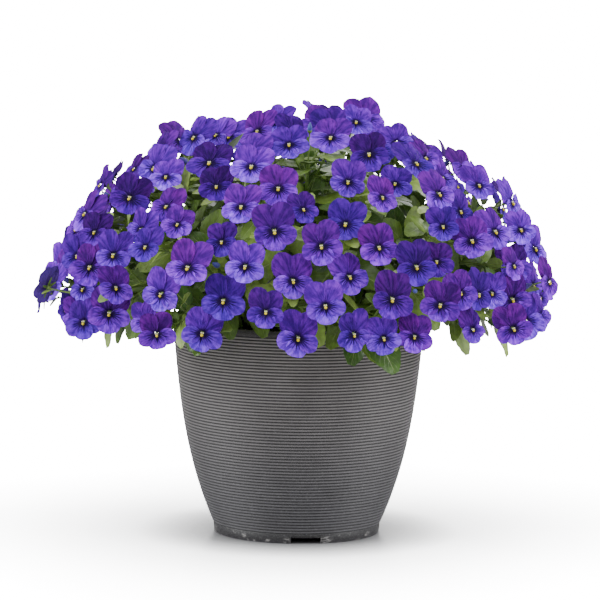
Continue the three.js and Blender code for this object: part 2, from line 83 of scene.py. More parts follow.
# %% Driving dimensions
POT_HEIGHT = 220.0
RIM_RADIUS = 128.0
FOOT_RADIUS = 84.0
FOOT_HEIGHT = 10.0
WALL = 3.2
LIP_HEIGHT = 7.0
LIP_STANDS_OUT = 1.6
BELLY = 0.58
BELLY_POWER = 3.1
SOIL_LEVEL = 206.0
SOIL_GAP = 0.35
SOIL_MOUND = 3.0

SPRAYS = 48
BLOOMS_EACH = 4
DOME_RADIUS = 250.0
DOME_RISE = 185.0
DOME_DROP = 45.0
DOME_LEVEL = 236.0
LOWEST_COSINE = -0.2
BLOOM_MIN = 33.0
BLOOM_MAX = 48.0
SPACING = 0.98
CELL_SPREAD = 22.0
RELAX_STEPS = 14
OFFSET_IN, OFFSET_OUT = -12.0, 6.0
FOCUS_BACK = 130.0
LOOK_UP_LOW = math.radians(4)
LOOK_UP_TOP = math.radians(34)
LOOK_JITTER = math.radians(24)
TURNED_SHARE = 0.07
TURNED_ANGLE = math.radians(75)
ROLL_JITTER = math.radians(14)
BRANCH_SHARE = 0.83
ROOT_SHARE = 0.44
HOLE_DEPTH = 24.0
STEM_RADIUS = 1.9
STALK_RADIUS = 0.95
CLEAR = 0.7
LEAF_LENGTH = 50.0
LEAF_WIDTH = 28.0
SEED = 18

DEPTHS = (0, 4, -4, 8, -8, 12, -12, 16, -16, -20, -24)
BLOOM_HALF_THICKNESS = 2.6
BLOOM_LIFT = 0.08
BLOOM_HALF_ACROSS, BLOOM_HALF_ALONG = 0.5, 0.53
SHRINKS = (1, 0.9, 0.8)
ARCH_RUNS = 3
ARCH_PULL = 0.35
ARCH_OVER = 38.0
LOW_SPAN = 150.0
MOUTH_ABOVE = 4.0
SPUR = 5.5
STALK_FROM = (0.94, 0.78, 0.62, 0.46)
STALK_SHIFTS = (0, -0.08, 0.04, -0.16, -0.24, -0.32, -0.4)
LEAF_TURNS = 12
LEAF_OUTWARD = (0.45, 0.8, 0.15)
LEAF_SIZES = (1.15, 1, 0.85, 0.7, 0.55)
LEAF_FROM = ((ARCH_RUNS, 0.3), (ARCH_RUNS, 0.72))
LARGE_LEAVES = len(LEAF_FROM)
LEAF_HALF_THICKNESS = 2.0
PETIOLE = 0.18
LEAF_TURN_STEP = 5
LEAF_STALK_SHARE, LEAF_STALK_RADIUS = 0.3, 1.2
LARGE_LEAF_FRESH_AND_LIT = 0.8
NEAR_POT, OFF_POT = 3.0, 4.0
RIM_LEAF_BELOW = 240.0
RIM_LEAF_LEANS = (0.15, -0.25, 0.5, -0.6)
RIM_SAMPLES = 12
GOLDEN = math.pi * (3 - math.sqrt(5))

# %% Seeded draws, the same as in the solids
WORD = 0xFFFFFFFF


class Draws:
    """Numbers from 0 to 1 that look random but are the same on each run."""

    def __init__(self, seed):
        self.state = seed

    def draw(self):
        self.state = (self.state + 0x6D2B79F5) & WORD
        t = ((self.state ^ (self.state >> 15)) * (self.state | 1)) & WORD
        t ^= (t + (((t ^ (t >> 7)) * (t | 61)) & WORD)) & WORD
        return ((t ^ (t >> 14)) & WORD) / 4294967296

    def spread(self, low, high):
        return low + (high - low) * self.draw()


def unit(vector):
    return vector / np.linalg.norm(vector)


def to_share(value):
    return min(max(value, 0), 1)


def turned(vector, axis, angle):
    """The vector turned about a unit axis."""
    cos, sin = math.cos(angle), math.sin(angle)
    return vector * cos + np.cross(axis, vector) * sin + axis * (axis @ vector) * (1 - cos)


# %% Flat ovals and straight runs that keep clear of each other
MOST = 3000


class Ovals:
    """Flat pieces: each has a middle, two axes with their half lengths, and a half thickness."""

    def __init__(self):
        self.count = 0
        self.middle = np.zeros((MOST, 3))
        self.across = np.zeros((MOST, 3))
        self.along = np.zeros((MOST, 3))
        self.normal = np.zeros((MOST, 3))
        self.rim = np.zeros((MOST, RIM_SAMPLES, 3))
        self.a, self.b, self.half = np.zeros(MOST), np.zeros(MOST), np.zeros(MOST)
        self.spray = np.full(MOST, -1)

    def put(self, middle, across, along, a, b, half, spray):
        """Writes an oval in the next free place, where keep then leaves it."""
        i = self.count
        self.middle[i], self.across[i], self.along[i] = middle, across, along
        self.normal[i] = unit(np.cross(across, along))
        turns = np.arange(RIM_SAMPLES) * 2 * math.pi / RIM_SAMPLES
        self.rim[i] = middle + a * np.cos(turns)[:, None] * across + b * np.sin(turns)[:, None] * along
        self.a[i], self.b[i], self.half[i], self.spray[i] = a, b, half, spray
        return i

    def keep(self):
        self.count += 1

    def within(self, pick, point, margin):
        """pick is an index array whose shape matches that of the points without their last axis."""
        d = point - self.middle[pick]
        x = (d * self.across[pick]).sum(-1) / (self.a[pick] + margin)
        y = (d * self.along[pick]).sum(-1) / (self.b[pick] + margin)
        return x * x + y * y < 1

    def met_by(self, pick, start, end, radius, clear=CLEAR):
        """Which straight runs touch the picked ovals."""
        margin = radius + clear
        h0 = ((start - self.middle[pick]) * self.normal[pick]).sum(-1)
        h1 = ((end - self.middle[pick]) * self.normal[pick]).sum(-1)
        thick = self.half[pick] + margin
        apart = ((h0 > thick) & (h1 > thick)) | ((h0 < -thick) & (h1 < -thick))
        met = (np.abs(h0) <= thick) & self.within(pick, start, margin)
        met |= (np.abs(h1) <= thick) & self.within(pick, end, margin)
        step = np.where(h1 == h0, 1.0, h1 - h0)
        for h in (-thick, 0.0, thick):
            t = np.where(h1 == h0, -1.0, (h - h0) / step)
            point = start + (end - start) * t[..., None]
            met |= (t >= 0) & (t <= 1) & self.within(pick, point, margin)
        return met & ~apart

    def tried_meets(self, clear=CLEAR):
        """Whether the oval in the next free place touches any that is kept."""
        i, n = self.count, self.count
        if not n:
            return False
        reach = np.maximum(self.a[:n + 1], self.b[:n + 1]) + self.half[:n + 1]
        distance = np.linalg.norm(self.middle[:n] - self.middle[i], axis=1)
        near = np.nonzero(distance <= reach[:n] + reach[i] + clear)[0]
        if not len(near):
            return False
        for own, other in ((np.full_like(near, i), near), (near, np.full_like(near, i))):
            rim = self.rim[own]
            pick = np.repeat(other[:, None], RIM_SAMPLES, axis=1)
            radius = np.repeat(self.half[own][:, None], RIM_SAMPLES, axis=1)
            middle = np.repeat(self.middle[own][:, None], RIM_SAMPLES, axis=1)
            if self.met_by(pick, rim, np.roll(rim, -1, axis=1), radius, clear).any():
                return True
            if self.met_by(pick, middle, rim, radius, clear).any():
                return True
        return False

    def meet_run(self, start, end, radius, skip=None, clear=CLEAR):
        n = self.count
        reach = np.maximum(self.a[:n], self.b[:n]) + self.half[:n]
        apart = np.linalg.norm(self.middle[:n] - 0.5 * (start + end), axis=1)
        apart -= 0.5 * np.linalg.norm(end - start)
        near = apart <= reach + 2 * (radius + clear)
        if skip is not None:
            near &= self.spray[:n] != skip
        pick = np.nonzero(near)[0]
        return len(pick) > 0 and self.met_by(pick, start, end, radius, clear).any()


class Runs:
    """Straight runs of stem and stalk."""

    def __init__(self):
        self.count = 0
        self.start, self.end = np.zeros((MOST, 3)), np.zeros((MOST, 3))
        self.radius, self.spray = np.zeros(MOST), np.full(MOST, -1)

    def add(self, start, end, radius, spray):
        i = self.count
        self.start[i], self.end[i], self.radius[i], self.spray[i] = start, end, radius, spray
        self.count += 1

    def meet_run(self, start, end, radius, skip, clear=CLEAR):
        """Whether a run touches another spray's, by the nearest points."""
        others = np.nonzero(self.spray[:self.count] != skip)[0]
        if not len(others):
            return False
        d1, d2 = end - start, self.end[others] - self.start[others]
        r = start - self.start[others]
        a, e = d1 @ d1, (d2 * d2).sum(-1)
        b, c, f = d2 @ d1, r @ d1, (d2 * r).sum(-1)
        bottom = a * e - b * b
        s = np.where(bottom > 1e-9, np.clip((b * f - c * e) / np.maximum(bottom, 1e-12), 0, 1), 0)
        t = np.clip((b * s + f) / e, 0, 1)
        s = np.clip((b * t - c) / a, 0, 1)
        apart = (start + d1 * s[:, None]) - (self.start[others] + d2 * t[:, None])
        return (np.linalg.norm(apart, axis=1) < radius + self.radius[others] + clear).any()

    def meet_oval(self, ovals, i, spray, clear=CLEAR):
        """Whether any run, but this spray's own thick stem, touches the oval i."""
        n = self.count
        mine = (self.spray[:n] == spray) & (self.radius[:n] >= STEM_RADIUS)
        apart = np.linalg.norm(0.5 * (self.start[:n] + self.end[:n]) - ovals.middle[i], axis=1)
        apart -= 0.5 * np.linalg.norm(self.end[:n] - self.start[:n], axis=1) + 2 * (self.radius[:n] + clear)
        others = np.nonzero(~mine & (apart <= max(ovals.a[i], ovals.b[i]) + ovals.half[i]))[0]
        pick = np.full(len(others), i)
        return ovals.met_by(pick, self.start[others], self.end[others], self.radius[others], clear).any()


# %% Where the blooms lie
dome_middle = np.array([0, 0, DOME_LEVEL])


def on_dome(cosine, turn):
    """The dome is a flat half ball, which goes on a little under its widest level."""
    sine = np.sqrt(1 - cosine * cosine)
    rise = np.where(cosine > 0, DOME_RISE, DOME_DROP)
    z = DOME_LEVEL + rise * cosine
    return np.stack([DOME_RADIUS * sine * np.cos(turn), DOME_RADIUS * sine * np.sin(turn), z], axis=-1)


def back_onto_dome(points):
    x, y, z = np.moveaxis(points, -1, 0)
    rise = np.where(z > DOME_LEVEL, DOME_RISE, DOME_DROP)
    p, q, h = x / DOME_RADIUS, y / DOME_RADIUS, (z - DOME_LEVEL) / rise
    cosine = np.clip(h / np.sqrt(p * p + q * q + h * h), LOWEST_COSINE, 1)
    return on_dome(cosine, np.arctan2(y, x))


def lay_blooms(draws):
    """Four blooms round the end of each stem, pushed apart in steps until they have room."""
    points, widths = [], []
    for s in range(SPRAYS):
        cell = on_dome(1 - ((s + 0.5) / SPRAYS) * (1 - LOWEST_COSINE), s * GOLDEN)
        aside = np.array([-math.sin(s * GOLDEN), math.cos(s * GOLDEN), 0])
        up = unit(np.cross(unit(cell - dome_middle), aside))
        turn = draws.spread(0, math.pi / 2)
        for k in range(BLOOMS_EACH):
            angle = turn + k * 2 * math.pi / BLOOMS_EACH
            points.append(cell + CELL_SPREAD * (math.cos(angle) * aside + math.sin(angle) * up))
            widths.append(draws.spread(BLOOM_MIN, BLOOM_MAX))
    points, widths = back_onto_dome(np.array(points)), np.array(widths)
    want = SPACING * (widths[:, None] + widths) / 2
    for _ in range(RELAX_STEPS):
        apart = points[:, None] - points
        gap = np.linalg.norm(apart, axis=-1)
        close = (gap < want) & (gap >= 1e-6)
        push = np.where(close, 0.25 * (want - gap) / np.maximum(gap, 1e-6), 0)
        points = back_onto_dome(points + (apart * push[..., None]).sum(1))
    return points, widths


def aim_bloom(point, draws):
    """Blooms look away from a line behind the middle, so that most turn a little to the front."""
    height = max(0, (point[2] - DOME_LEVEL) / DOME_RISE)
    turn = math.atan2(point[1] - FOCUS_BACK, point[0]) + draws.spread(-LOOK_JITTER, LOOK_JITTER)
    if draws.draw() < TURNED_SHARE:
        turn += TURNED_ANGLE if draws.draw() < 0.5 else -TURNED_ANGLE
    up = LOOK_UP_LOW + (LOOK_UP_TOP - LOOK_UP_LOW) * height + draws.spread(-0.4, 0.4) * LOOK_JITTER
    look = np.array([math.cos(turn) * math.cos(up), math.sin(turn) * math.cos(up), math.sin(up)])
    roll = draws.spread(-ROLL_JITTER, ROLL_JITTER)
    across = turned(np.array([-math.sin(turn), math.cos(turn), 0]), look, roll)
    return look, across, np.cross(look, across)


class Bloom:
    pass


def place_blooms(draws, ovals):
    """Each bloom slides in or out, or shrinks, until it touches no other."""
    blooms = []
    points, widths = lay_blooms(draws)
    for i, (point, width) in enumerate(zip(points, widths)):
        look, across, along = aim_bloom(point, draws)
        outward = unit(point - dome_middle)
        start = draws.spread(OFFSET_IN, OFFSET_OUT)
        for shrink, depth in ((s, d) for s in SHRINKS for d in DEPTHS):
            bloom = Bloom()
            bloom.spray, bloom.width = i // BLOOMS_EACH, width * shrink
            bloom.look, bloom.across, bloom.along = look, across, along
            bloom.eye = point + outward * (start + depth)
            w = bloom.width
            ovals.put(bloom.eye + along * BLOOM_LIFT * w, across, along, BLOOM_HALF_ACROSS * w,
                      BLOOM_HALF_ALONG * w, BLOOM_HALF_THICKNESS, bloom.spray)
            if not ovals.tried_meets():
                ovals.keep()
                blooms.append(bloom)
                break
    return blooms


# %% Stems, stalks and large leaves
class Spray:
    pass


def bend_stem(spray):
    """A root in the mix, then an arch that ends under the middle of the spray's blooms."""
    middle = np.mean([bloom.eye for bloom in spray.blooms], axis=0)
    spray.outward = unit(middle - dome_middle)
    branch = dome_middle + (middle - dome_middle) * BRANCH_SHARE
    root = middle * ROOT_SHARE
    root[2] = SOIL_LEVEL - HOLE_DEPTH + SOIL_GAP
    mouth = np.array([root[0], root[1], SOIL_LEVEL + SOIL_MOUND + MOUTH_ABOVE])
    pull = ARCH_PULL * np.linalg.norm(branch - mouth)
    low = 1 - to_share((branch[2] - SOIL_LEVEL) / LOW_SPAN)
    over = branch - spray.outward * pull
    over[2] += ARCH_OVER * low * low
    spray.arch = (mouth, mouth + np.array([0, 0, pull]), over, branch)
    spray.points = [root] + [bezier(spray.arch, i / ARCH_RUNS) for i in range(ARCH_RUNS + 1)]


def bezier(corners, t):
    a, b, c, d = corners
    s = 1 - t
    return s * s * s * a + 3 * s * s * t * b + 3 * s * t * t * c + t * t * t * d


def lay_stalk(bloom, rank, spray, ovals, runs):
    """From the arch to the back of the bloom, from the first start that is free."""
    bloom.back = bloom.eye - bloom.look * SPUR
    low, high = spray.points[-2:]
    starts = [low + (high - low) * (STALK_FROM[rank] + shift) for shift in STALK_SHIFTS]
    bloom.base = starts[0]
    for start in starts:
        blocked = ovals.meet_run(start, bloom.back, STALK_RADIUS, bloom.spray)
        if not blocked and not runs.meet_run(start, bloom.back, STALK_RADIUS, bloom.spray):
            bloom.base = start
            break
    runs.add(bloom.base, bloom.back, STALK_RADIUS, bloom.spray)


def clear_of_pot(points):
    out = np.hypot(points[:, 0], points[:, 1])
    z = points[:, 2]
    outside = (out > RIM_RADIUS + LIP_STANDS_OUT + NEAR_POT) | (z > POT_HEIGHT + OFF_POT)
    above_mix = (out < RIM_RADIUS - WALL - OFF_POT) & (z > SOIL_LEVEL + SOIL_MOUND + NEAR_POT)
    return (outside | above_mix).all()


def leaf_directions(spray, rank, draws):
    """Down over the rim first for a low spray, then all round its stem."""
    outward = spray.outward
    aside = unit(np.array([-outward[1], outward[0], 0]))
    flat = np.array([aside[1], -aside[0], 0])
    up = unit(np.cross(outward, aside))
    directions = []
    if rank == 0 and spray.points[-1][2] < RIM_LEAF_BELOW:
        for lean in RIM_LEAF_LEANS:
            down = flat * 0.5 + aside * lean
            down[2] = -0.85
            directions.append(unit(down))
    first = draws.spread(0, 2 * math.pi)
    for lean in LEAF_OUTWARD:
        for i in range(LEAF_TURNS):
            turn = first + LEAF_TURN_STEP * i * 2 * math.pi / LEAF_TURNS
            directions.append(unit(aside * math.cos(turn) + up * math.sin(turn) + outward * lean))
    return directions


class Leaf:
    pass


def try_leaf(spray, base, axis, length, width, ovals, runs, clear=CLEAR, facing=None):
    """A leaf of that size and direction, or None where it would touch a neighbour."""
    facing = spray.outward if facing is None else facing
    leaf = Leaf()
    leaf.base, leaf.axis, leaf.length, leaf.width = base, axis, length, width
    leaf.fresh = LARGE_LEAF_FRESH_AND_LIT
    leaf.face = unit(facing - axis * (facing @ axis))
    leaf.across = np.cross(axis, leaf.face)
    i = ovals.put(base + axis * 0.5 * (1 + PETIOLE) * length, leaf.across, axis, 0.5 * width,
                  0.5 * (1 - PETIOLE) * length, LEAF_HALF_THICKNESS, spray.index)
    to = base + axis * LEAF_STALK_SHARE * length
    if not clear_of_pot(ovals.rim[i]) or ovals.tried_meets(clear):
        return None
    if runs.meet_oval(ovals, i, spray.index, clear):
        return None
    if ovals.meet_run(base, to, LEAF_STALK_RADIUS, None, clear):
        return None
    if runs.meet_run(base, to, LEAF_STALK_RADIUS, spray.index, clear):
        return None
    ovals.keep()
    runs.add(base, to, LEAF_STALK_RADIUS, spray.index)
    return leaf


def place_leaf(spray, rank, ovals, runs, draws):
    run, share = LEAF_FROM[rank]
    base = spray.points[run] + (spray.points[run + 1] - spray.points[run]) * share
    size = draws.spread(0.9, 1.1)
    directions = leaf_directions(spray, rank, draws)
    for step in LEAF_SIZES:
        length, width = LEAF_LENGTH * size * step, LEAF_WIDTH * size * step
        for axis in directions:
            leaf = try_leaf(spray, base, axis, length, width, ovals, runs)
            if leaf:
                return leaf
    return None


draws = Draws(SEED)
ovals, runs, sprays = Ovals(), Runs(), []
blooms = place_blooms(draws, ovals)
for index in range(SPRAYS):
    spray = Spray()
    spray.index, spray.leaves, spray.buds = index, [], []
    spray.blooms = [bloom for bloom in blooms if bloom.spray == index]
    bend_stem(spray)
    for start, end in zip(spray.points, spray.points[1:]):
        runs.add(start, end, STEM_RADIUS, index)
    sprays.append(spray)
for spray in sprays:
    for rank, bloom in enumerate(spray.blooms):
        lay_stalk(bloom, rank, spray, ovals, runs)
for rank in range(len(LEAF_FROM)):
    for spray in sprays:
        leaf = place_leaf(spray, rank, ovals, runs, draws)
        if leaf:
            spray.leaves.append(leaf)

farthest = 0
for spray in sprays:
    solid = nodes[f"spray_{spray.index + 1:02d}"].data
    corners = np.array([v.co for v in solid.vertices]) / MM
    for bloom in spray.blooms:
        farthest = max(farthest, np.linalg.norm(corners - bloom.eye, axis=1).min())
    for leaf in spray.leaves:
        tip = leaf.base + leaf.axis * leaf.length
        farthest = max(farthest, np.linalg.norm(corners - tip, axis=1).min())
print("The plan has", len(blooms), "blooms and", sum(len(s.leaves) for s in sprays), "large leaves.",
      "The farthest eye or leaf tip lies", round(farthest, 3), "mm from its solid's corner.")

# %% [markdown]
# ## Building blocks
#
# Petals and leaves are thin sheets over a small grid of points, closed at the back and along the
# rim. Stems, buds, the pot and its mix are skins over rings. Each body carries a few values at its
# corners, such as how far it is from the eye of its bloom, which the finishes read later. Working
# on whole grids with numpy is quick enough for some hundred thousand faces.

# %% Closed bodies over grids and rings
VALUES = ("tint", "kind", "reach", "back", "light")


def blade(points, thickness):
    """A thin closed sheet over a grid of points: its corners, its faces, and 1 at the back's corners."""
    rows, columns = points.shape[:2]
    normal = np.cross(np.gradient(points, axis=1), np.gradient(points, axis=0))
    normal /= np.maximum(np.linalg.norm(normal, axis=-1, keepdims=True), 1e-9)
    half = 0.5 * thickness * normal
    corners = np.concatenate([(points + half).reshape(-1, 3), (points - half).reshape(-1, 3)])
    count = rows * columns
    index = np.arange(count).reshape(rows, columns)
    front = np.stack([index[:-1, :-1], index[:-1, 1:], index[1:, 1:], index[1:, :-1]], -1).reshape(-1, 4)
    ring = np.concatenate([index[0, :-1], index[:-1, -1], index[-1, :0:-1], index[:0:-1, 0]])
    after = np.roll(ring, -1)
    rim = np.stack([after, ring, ring + count, after + count], -1)
    return corners, [np.concatenate([front, front[:, ::-1] + count, rim])], np.repeat([0.0, 1.0], count)


def skin(rings, start, end):
    """A closed body over rings of points, with a point at either end."""
    count, sides = rings.shape[:2]
    index = np.arange(count * sides).reshape(count, sides)
    after = np.roll(index, -1, axis=1)
    quads = np.stack([index[:-1], after[:-1], after[1:], index[1:]], -1).reshape(-1, 4)
    first = np.stack([np.full(sides, count * sides), after[0], index[0]], -1)
    last = np.stack([np.full(sides, count * sides + 1), index[-1], after[-1]], -1)
    return np.concatenate([rings.reshape(-1, 3), [start, end]]), [quads, np.concatenate([first, last])]


def tube(path, radii, sides):
    """A round stem along a path of points, with one radius a point."""
    path = np.asarray(path, float)
    ahead = np.gradient(path, axis=0)
    ahead /= np.linalg.norm(ahead, axis=1, keepdims=True)
    side = np.cross(ahead[0], [0.31, 0.52, 0.8])
    turns = np.arange(sides) * 2 * math.pi / sides
    rings = []
    for point, forward, radius in zip(path, ahead, np.broadcast_to(radii, len(path))):
        side = unit(side - forward * (side @ forward))
        up = np.cross(forward, side)
        rings.append(point + radius * (np.cos(turns)[:, None] * side + np.sin(turns)[:, None] * up))
    return skin(np.array(rings), path[0], path[-1])


def pod(start, end, radius, profile, sides=8):
    """A straight round body, such as a bud, with its radius at even steps as shares of the largest."""
    steps = np.linspace(0, 1, len(profile))[:, None]
    return tube(start + (end - start) * steps, radius * np.array(profile), sides)


# %% A piece that is filled body by body
class Shape:
    def __init__(self, *finishes):
        self.finishes = finishes
        self.points, self.coords, self.values, self.faces, self.finish_of = [], [], [], [], []
        self.count = 0

    def add(self, points, faces, finish, coords=None, **values):
        volume = 0.0
        for f in faces:
            for k in range(1, f.shape[1] - 1):
                volume += (points[f[:, 0]] * np.cross(points[f[:, k]], points[f[:, k + 1]])).sum()
        for f in faces:
            self.faces.append((f if volume > 0 else f[:, ::-1]) + self.count)
            self.finish_of.append(np.full(len(f), self.finishes.index(finish)))
        self.points.append(points)
        self.coords.append(np.zeros((len(points), 2)) if coords is None else coords)
        given = [np.asarray(values.get(name, 0.0), float) for name in VALUES]
        self.values.append(np.stack([np.broadcast_to(value, len(points)) for value in given], -1))
        self.count += len(points)

    def mesh(self, name):
        mesh = bpy.data.meshes.new(name)
        points = np.concatenate(self.points) * MM
        corners = np.concatenate([f.ravel() for f in self.faces])
        totals = np.concatenate([np.full(len(f), f.shape[1]) for f in self.faces])
        mesh.vertices.add(len(points))
        mesh.vertices.foreach_set("co", points.ravel())
        mesh.loops.add(len(corners))
        mesh.loops.foreach_set("vertex_index", corners.astype(np.int32))
        mesh.polygons.add(len(totals))
        mesh.polygons.foreach_set("loop_start", (np.cumsum(totals) - totals).astype(np.int32))
        mesh.polygons.foreach_set("loop_total", totals.astype(np.int32))
        mesh.polygons.foreach_set("material_index", np.concatenate(self.finish_of).astype(np.int32))
        mesh.update(calc_edges=True)
        flat_coords = np.concatenate(self.coords)[corners].ravel()
        mesh.uv_layers.new(name="UVMap").data.foreach_set("uv", flat_coords)
        values = np.concatenate(self.values)
        for k, value in enumerate(VALUES):
            mesh.attributes.new(value, "FLOAT", "POINT").data.foreach_set("value", values[:, k].copy())
        mesh.shade_smooth()
        mesh.set_sharp_from_angle(angle=math.radians(55))
        for finish in self.finishes:
            mesh.materials.append(finishes[finish])
        return mesh


def place(mesh, slot, *replaced):
    """The mesh as one piece of the object, in place of the solids that it stands for."""
    piece = bpy.data.objects.new(mesh.name, mesh)
    bpy.context.scene.collection.objects.link(piece)
    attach(piece, "root")
    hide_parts(*replaced)
    return piece


# %% [markdown]
# ## Finishes
#
# Everything that grows or wears is uneven in the same way: small soft patches, a little lighter and
# a little darker. That mottle is one node group, and each finish places it with its own scale.
# Shader nodes could be laid out by hand in the editor. Here a few small functions add and link
# them, so that each finish reads like a sum.

# %% Small helpers for shader nodes
finishes = {}


def plug(tree, socket, value):
    if isinstance(value, bpy.types.NodeSocket):
        tree.links.new(value, socket)
    else:
        socket.default_value = value


def calc(tree, operation, *values, clamp=False):
    node = tree.nodes.new("ShaderNodeMath")
    node.operation, node.use_clamp = operation, clamp
    for socket, value in zip(node.inputs, values):
        plug(tree, socket, value)
    return node.outputs[0]


def times(tree, first, second):
    return calc(tree, "MULTIPLY", first, second)


def mix(tree, share, first, second, mode="MIX"):
    node = tree.nodes.new("ShaderNodeMix")
    node.data_type, node.blend_type = "RGBA", mode
    for index, value in ((0, share), (6, first), (7, second)):
        plug(tree, node.inputs[index], value)
    return node.outputs[2]


def scaled(tree, colour, red, green, blue):
    return mix(tree, 1.0, colour, (red, green, blue, 1.0), "MULTIPLY")


def rise(tree, value, low, high):
    """0 below low, 1 above high, with a soft step between them; low may be the larger."""
    node = tree.nodes.new("ShaderNodeMapRange")
    node.interpolation_type = "SMOOTHSTEP"
    for name, given in (("Value", value), ("From Min", low), ("From Max", high)):
        plug(tree, node.inputs[name], given)
    return node.outputs["Result"]


def value_of(tree, name):
    node = tree.nodes.new("ShaderNodeAttribute")
    node.attribute_name = name
    return node.outputs["Fac"]


def uv_of(tree):
    node = tree.nodes.new("ShaderNodeSeparateXYZ")
    tree.links.new(tree.nodes.new("ShaderNodeUVMap").outputs["UV"], node.inputs[0])
    return node.outputs["X"], node.outputs["Y"]


def place_of(tree):
    return tree.nodes.new("ShaderNodeTexCoord").outputs["Object"]


def noise_of(tree, scale, detail=2.0, rough=0.5, stretch=None):
    """Noise that is fixed to the object, optionally stretched along its axes."""
    place_in = place_of(tree)
    if stretch:
        mapping = tree.nodes.new("ShaderNodeMapping")
        mapping.inputs["Scale"].default_value = stretch
        tree.links.new(place_in, mapping.inputs["Vector"])
        place_in = mapping.outputs["Vector"]
    node = tree.nodes.new("ShaderNodeTexNoise")
    tree.links.new(place_in, node.inputs["Vector"])
    for name, given in (("Scale", scale), ("Detail", detail), ("Roughness", rough)):
        plug(tree, node.inputs[name], given)
    return node.outputs["Fac"]


def new_finish(name, **settings):
    """A material with its Principled shader, whose constant sockets are set by name."""
    material = bpy.data.materials.new(name)
    material.use_nodes = True
    shader = material.node_tree.nodes["Principled BSDF"]
    for key, given in settings.items():
        shader.inputs[key.replace("_", " ")].default_value = given
    finishes[name] = material
    return material.node_tree, shader


# %% The mottle that the finishes share
COLOUR_SOCKET, NUMBER_SOCKET = "NodeSocketColor", "NodeSocketFloat"


def make_mottle():
    group = bpy.data.node_groups.new("Mottle", "ShaderNodeTree")
    for name, kind, given in (("Color", COLOUR_SOCKET, (0.5, 0.5, 0.5, 1)), ("Scale", NUMBER_SOCKET, 60.0),
                              ("Darker", NUMBER_SOCKET, 0.7), ("Lighter", NUMBER_SOCKET, 1.3)):
        group.interface.new_socket(name, in_out="INPUT", socket_type=kind).default_value = given
    group.interface.new_socket("Color", in_out="OUTPUT", socket_type=COLOUR_SOCKET)
    group.interface.new_socket("Patches", in_out="OUTPUT", socket_type=NUMBER_SOCKET)
    given, put = group.nodes.new("NodeGroupInput").outputs, group.nodes.new("NodeGroupOutput").inputs
    patches = rise(group, noise_of(group, given["Scale"], detail=3.0), 0.3, 0.7)
    span = calc(group, "SUBTRACT", given["Lighter"], given["Darker"])
    gain = calc(group, "MULTIPLY_ADD", patches, span, given["Darker"])
    patched = group.nodes.new("ShaderNodeVectorMath")
    patched.operation = "SCALE"
    group.links.new(given["Color"], patched.inputs[0])
    group.links.new(gain, patched.inputs["Scale"])
    group.links.new(patched.outputs[0], put["Color"])
    group.links.new(patches, put["Patches"])
    return group


mottle = make_mottle()


def paint(tree, shader, colour, scale, darker, lighter):
    """The colour goes to the shader with its mottle on it, and the mottle's patches come back."""
    node = tree.nodes.new("ShaderNodeGroup")
    node.node_tree = mottle
    for name, given in (("Color", colour), ("Scale", scale), ("Darker", darker), ("Lighter", lighter)):
        plug(tree, node.inputs[name], given)
    plug(tree, shader.inputs["Base Color"], node.outputs["Color"])
    return node.outputs["Patches"]


def bumped(tree, shader, height, distance, strength=1.0):
    node = tree.nodes.new("ShaderNodeBump")
    node.inputs["Strength"].default_value = strength
    node.inputs["Distance"].default_value = distance
    tree.links.new(height, node.inputs["Height"])
    tree.links.new(node.outputs["Normal"], shader.inputs["Normal"])


# %% [markdown]
# ## Petals
#
# On the real bloom the upper petals are deeper, the lower one is lighter, and all are silky, with
# streaks from the throat to the rim. Dark whiskers run out from a dark halo round the eye. An image
# would have to be drawn for that. The petal's own coordinates give it all: u goes across the petal
# and v from its throat to its rim, and the values at its corners say which petal it is.
# Some of the light and dark on a petal is painted: shade in its creases, and light that differs from bloom
# to bloom and from petal to petal.

# %% The petals' violet, light and dark along streaks, with painted shade in its creases and painted light on some petals
def rgb(red, green, blue):
    return (red, green, blue, 1.0)


tree, shader = new_finish("petal", Roughness=0.65, Specular_IOR_Level=0.07)
tint, kind, reach, back, light = (value_of(tree, name) for name in VALUES)
u, v = uv_of(tree)


def along_petal(across, outward):
    """Noise that runs from the throat to the rim and differs from petal to petal."""
    spot = tree.nodes.new("ShaderNodeCombineXYZ")
    for name, share, steps in (("X", u, across), ("Y", v, outward), ("Z", light, 37.0)):
        plug(tree, spot.inputs[name], times(tree, share, steps))
    node = tree.nodes.new("ShaderNodeTexNoise")
    plug(tree, node.inputs["Vector"], spot.outputs[0])
    plug(tree, node.inputs["Scale"], 1.0)
    return rise(tree, node.outputs["Fac"], 0.25, 0.75)


upper = mix(tree, tint, rgb(0.110, 0.008, 0.48), rgb(0.070, 0.001, 0.20))
lower = mix(tree, tint, rgb(0.225, 0.050, 1.15), rgb(0.180, 0.014, 0.78))
colour = mix(tree, kind, upper, lower)
streak, crease = along_petal(15.0, 1.8), along_petal(6.0, 3.0)
streaks_and_crease_shade = calc(tree, "MULTIPLY_ADD", crease, 0.4, times(tree, streak, 0.6))
# the streaks are the petal's own colour; the creases add painted shade and painted light of folds
# the throat is darker and the rim lighter; the last row is painted light, stronger on some petals than
# others
shades = ((rise(tree, streaks_and_crease_shade, 0.15, 0.85), (0.50, 0.40, 0.60), (1.45, 1.75, 1.25)),
          (rise(tree, v, 0.2, 1.0), (0.60, 0.52, 0.72), (1.1, 1.2, 1.05)),
          (light, (0.56, 0.44, 0.64), (2.0, 2.3, 1.65)))
for share, dark, pale in shades:
    colour = mix(tree, share, scaled(tree, colour, *dark), scaled(tree, colour, *pale))

# %% Their veins, whiskers and halo
vein = calc(tree, "PINGPONG", calc(tree, "MULTIPLY_ADD", streak, 0.02, u), 0.0178)
vein = rise(tree, vein, 0.0062, 0.0)
lines = calc(tree, "PINGPONG", calc(tree, "ADD", u, 0.06), 0.056)
wide = calc(tree, "MULTIPLY_ADD", rise(tree, v, 0.15, 0.7), -0.036, 0.050)
whisker = rise(tree, lines, wide, calc(tree, "SUBTRACT", wide, 0.014))
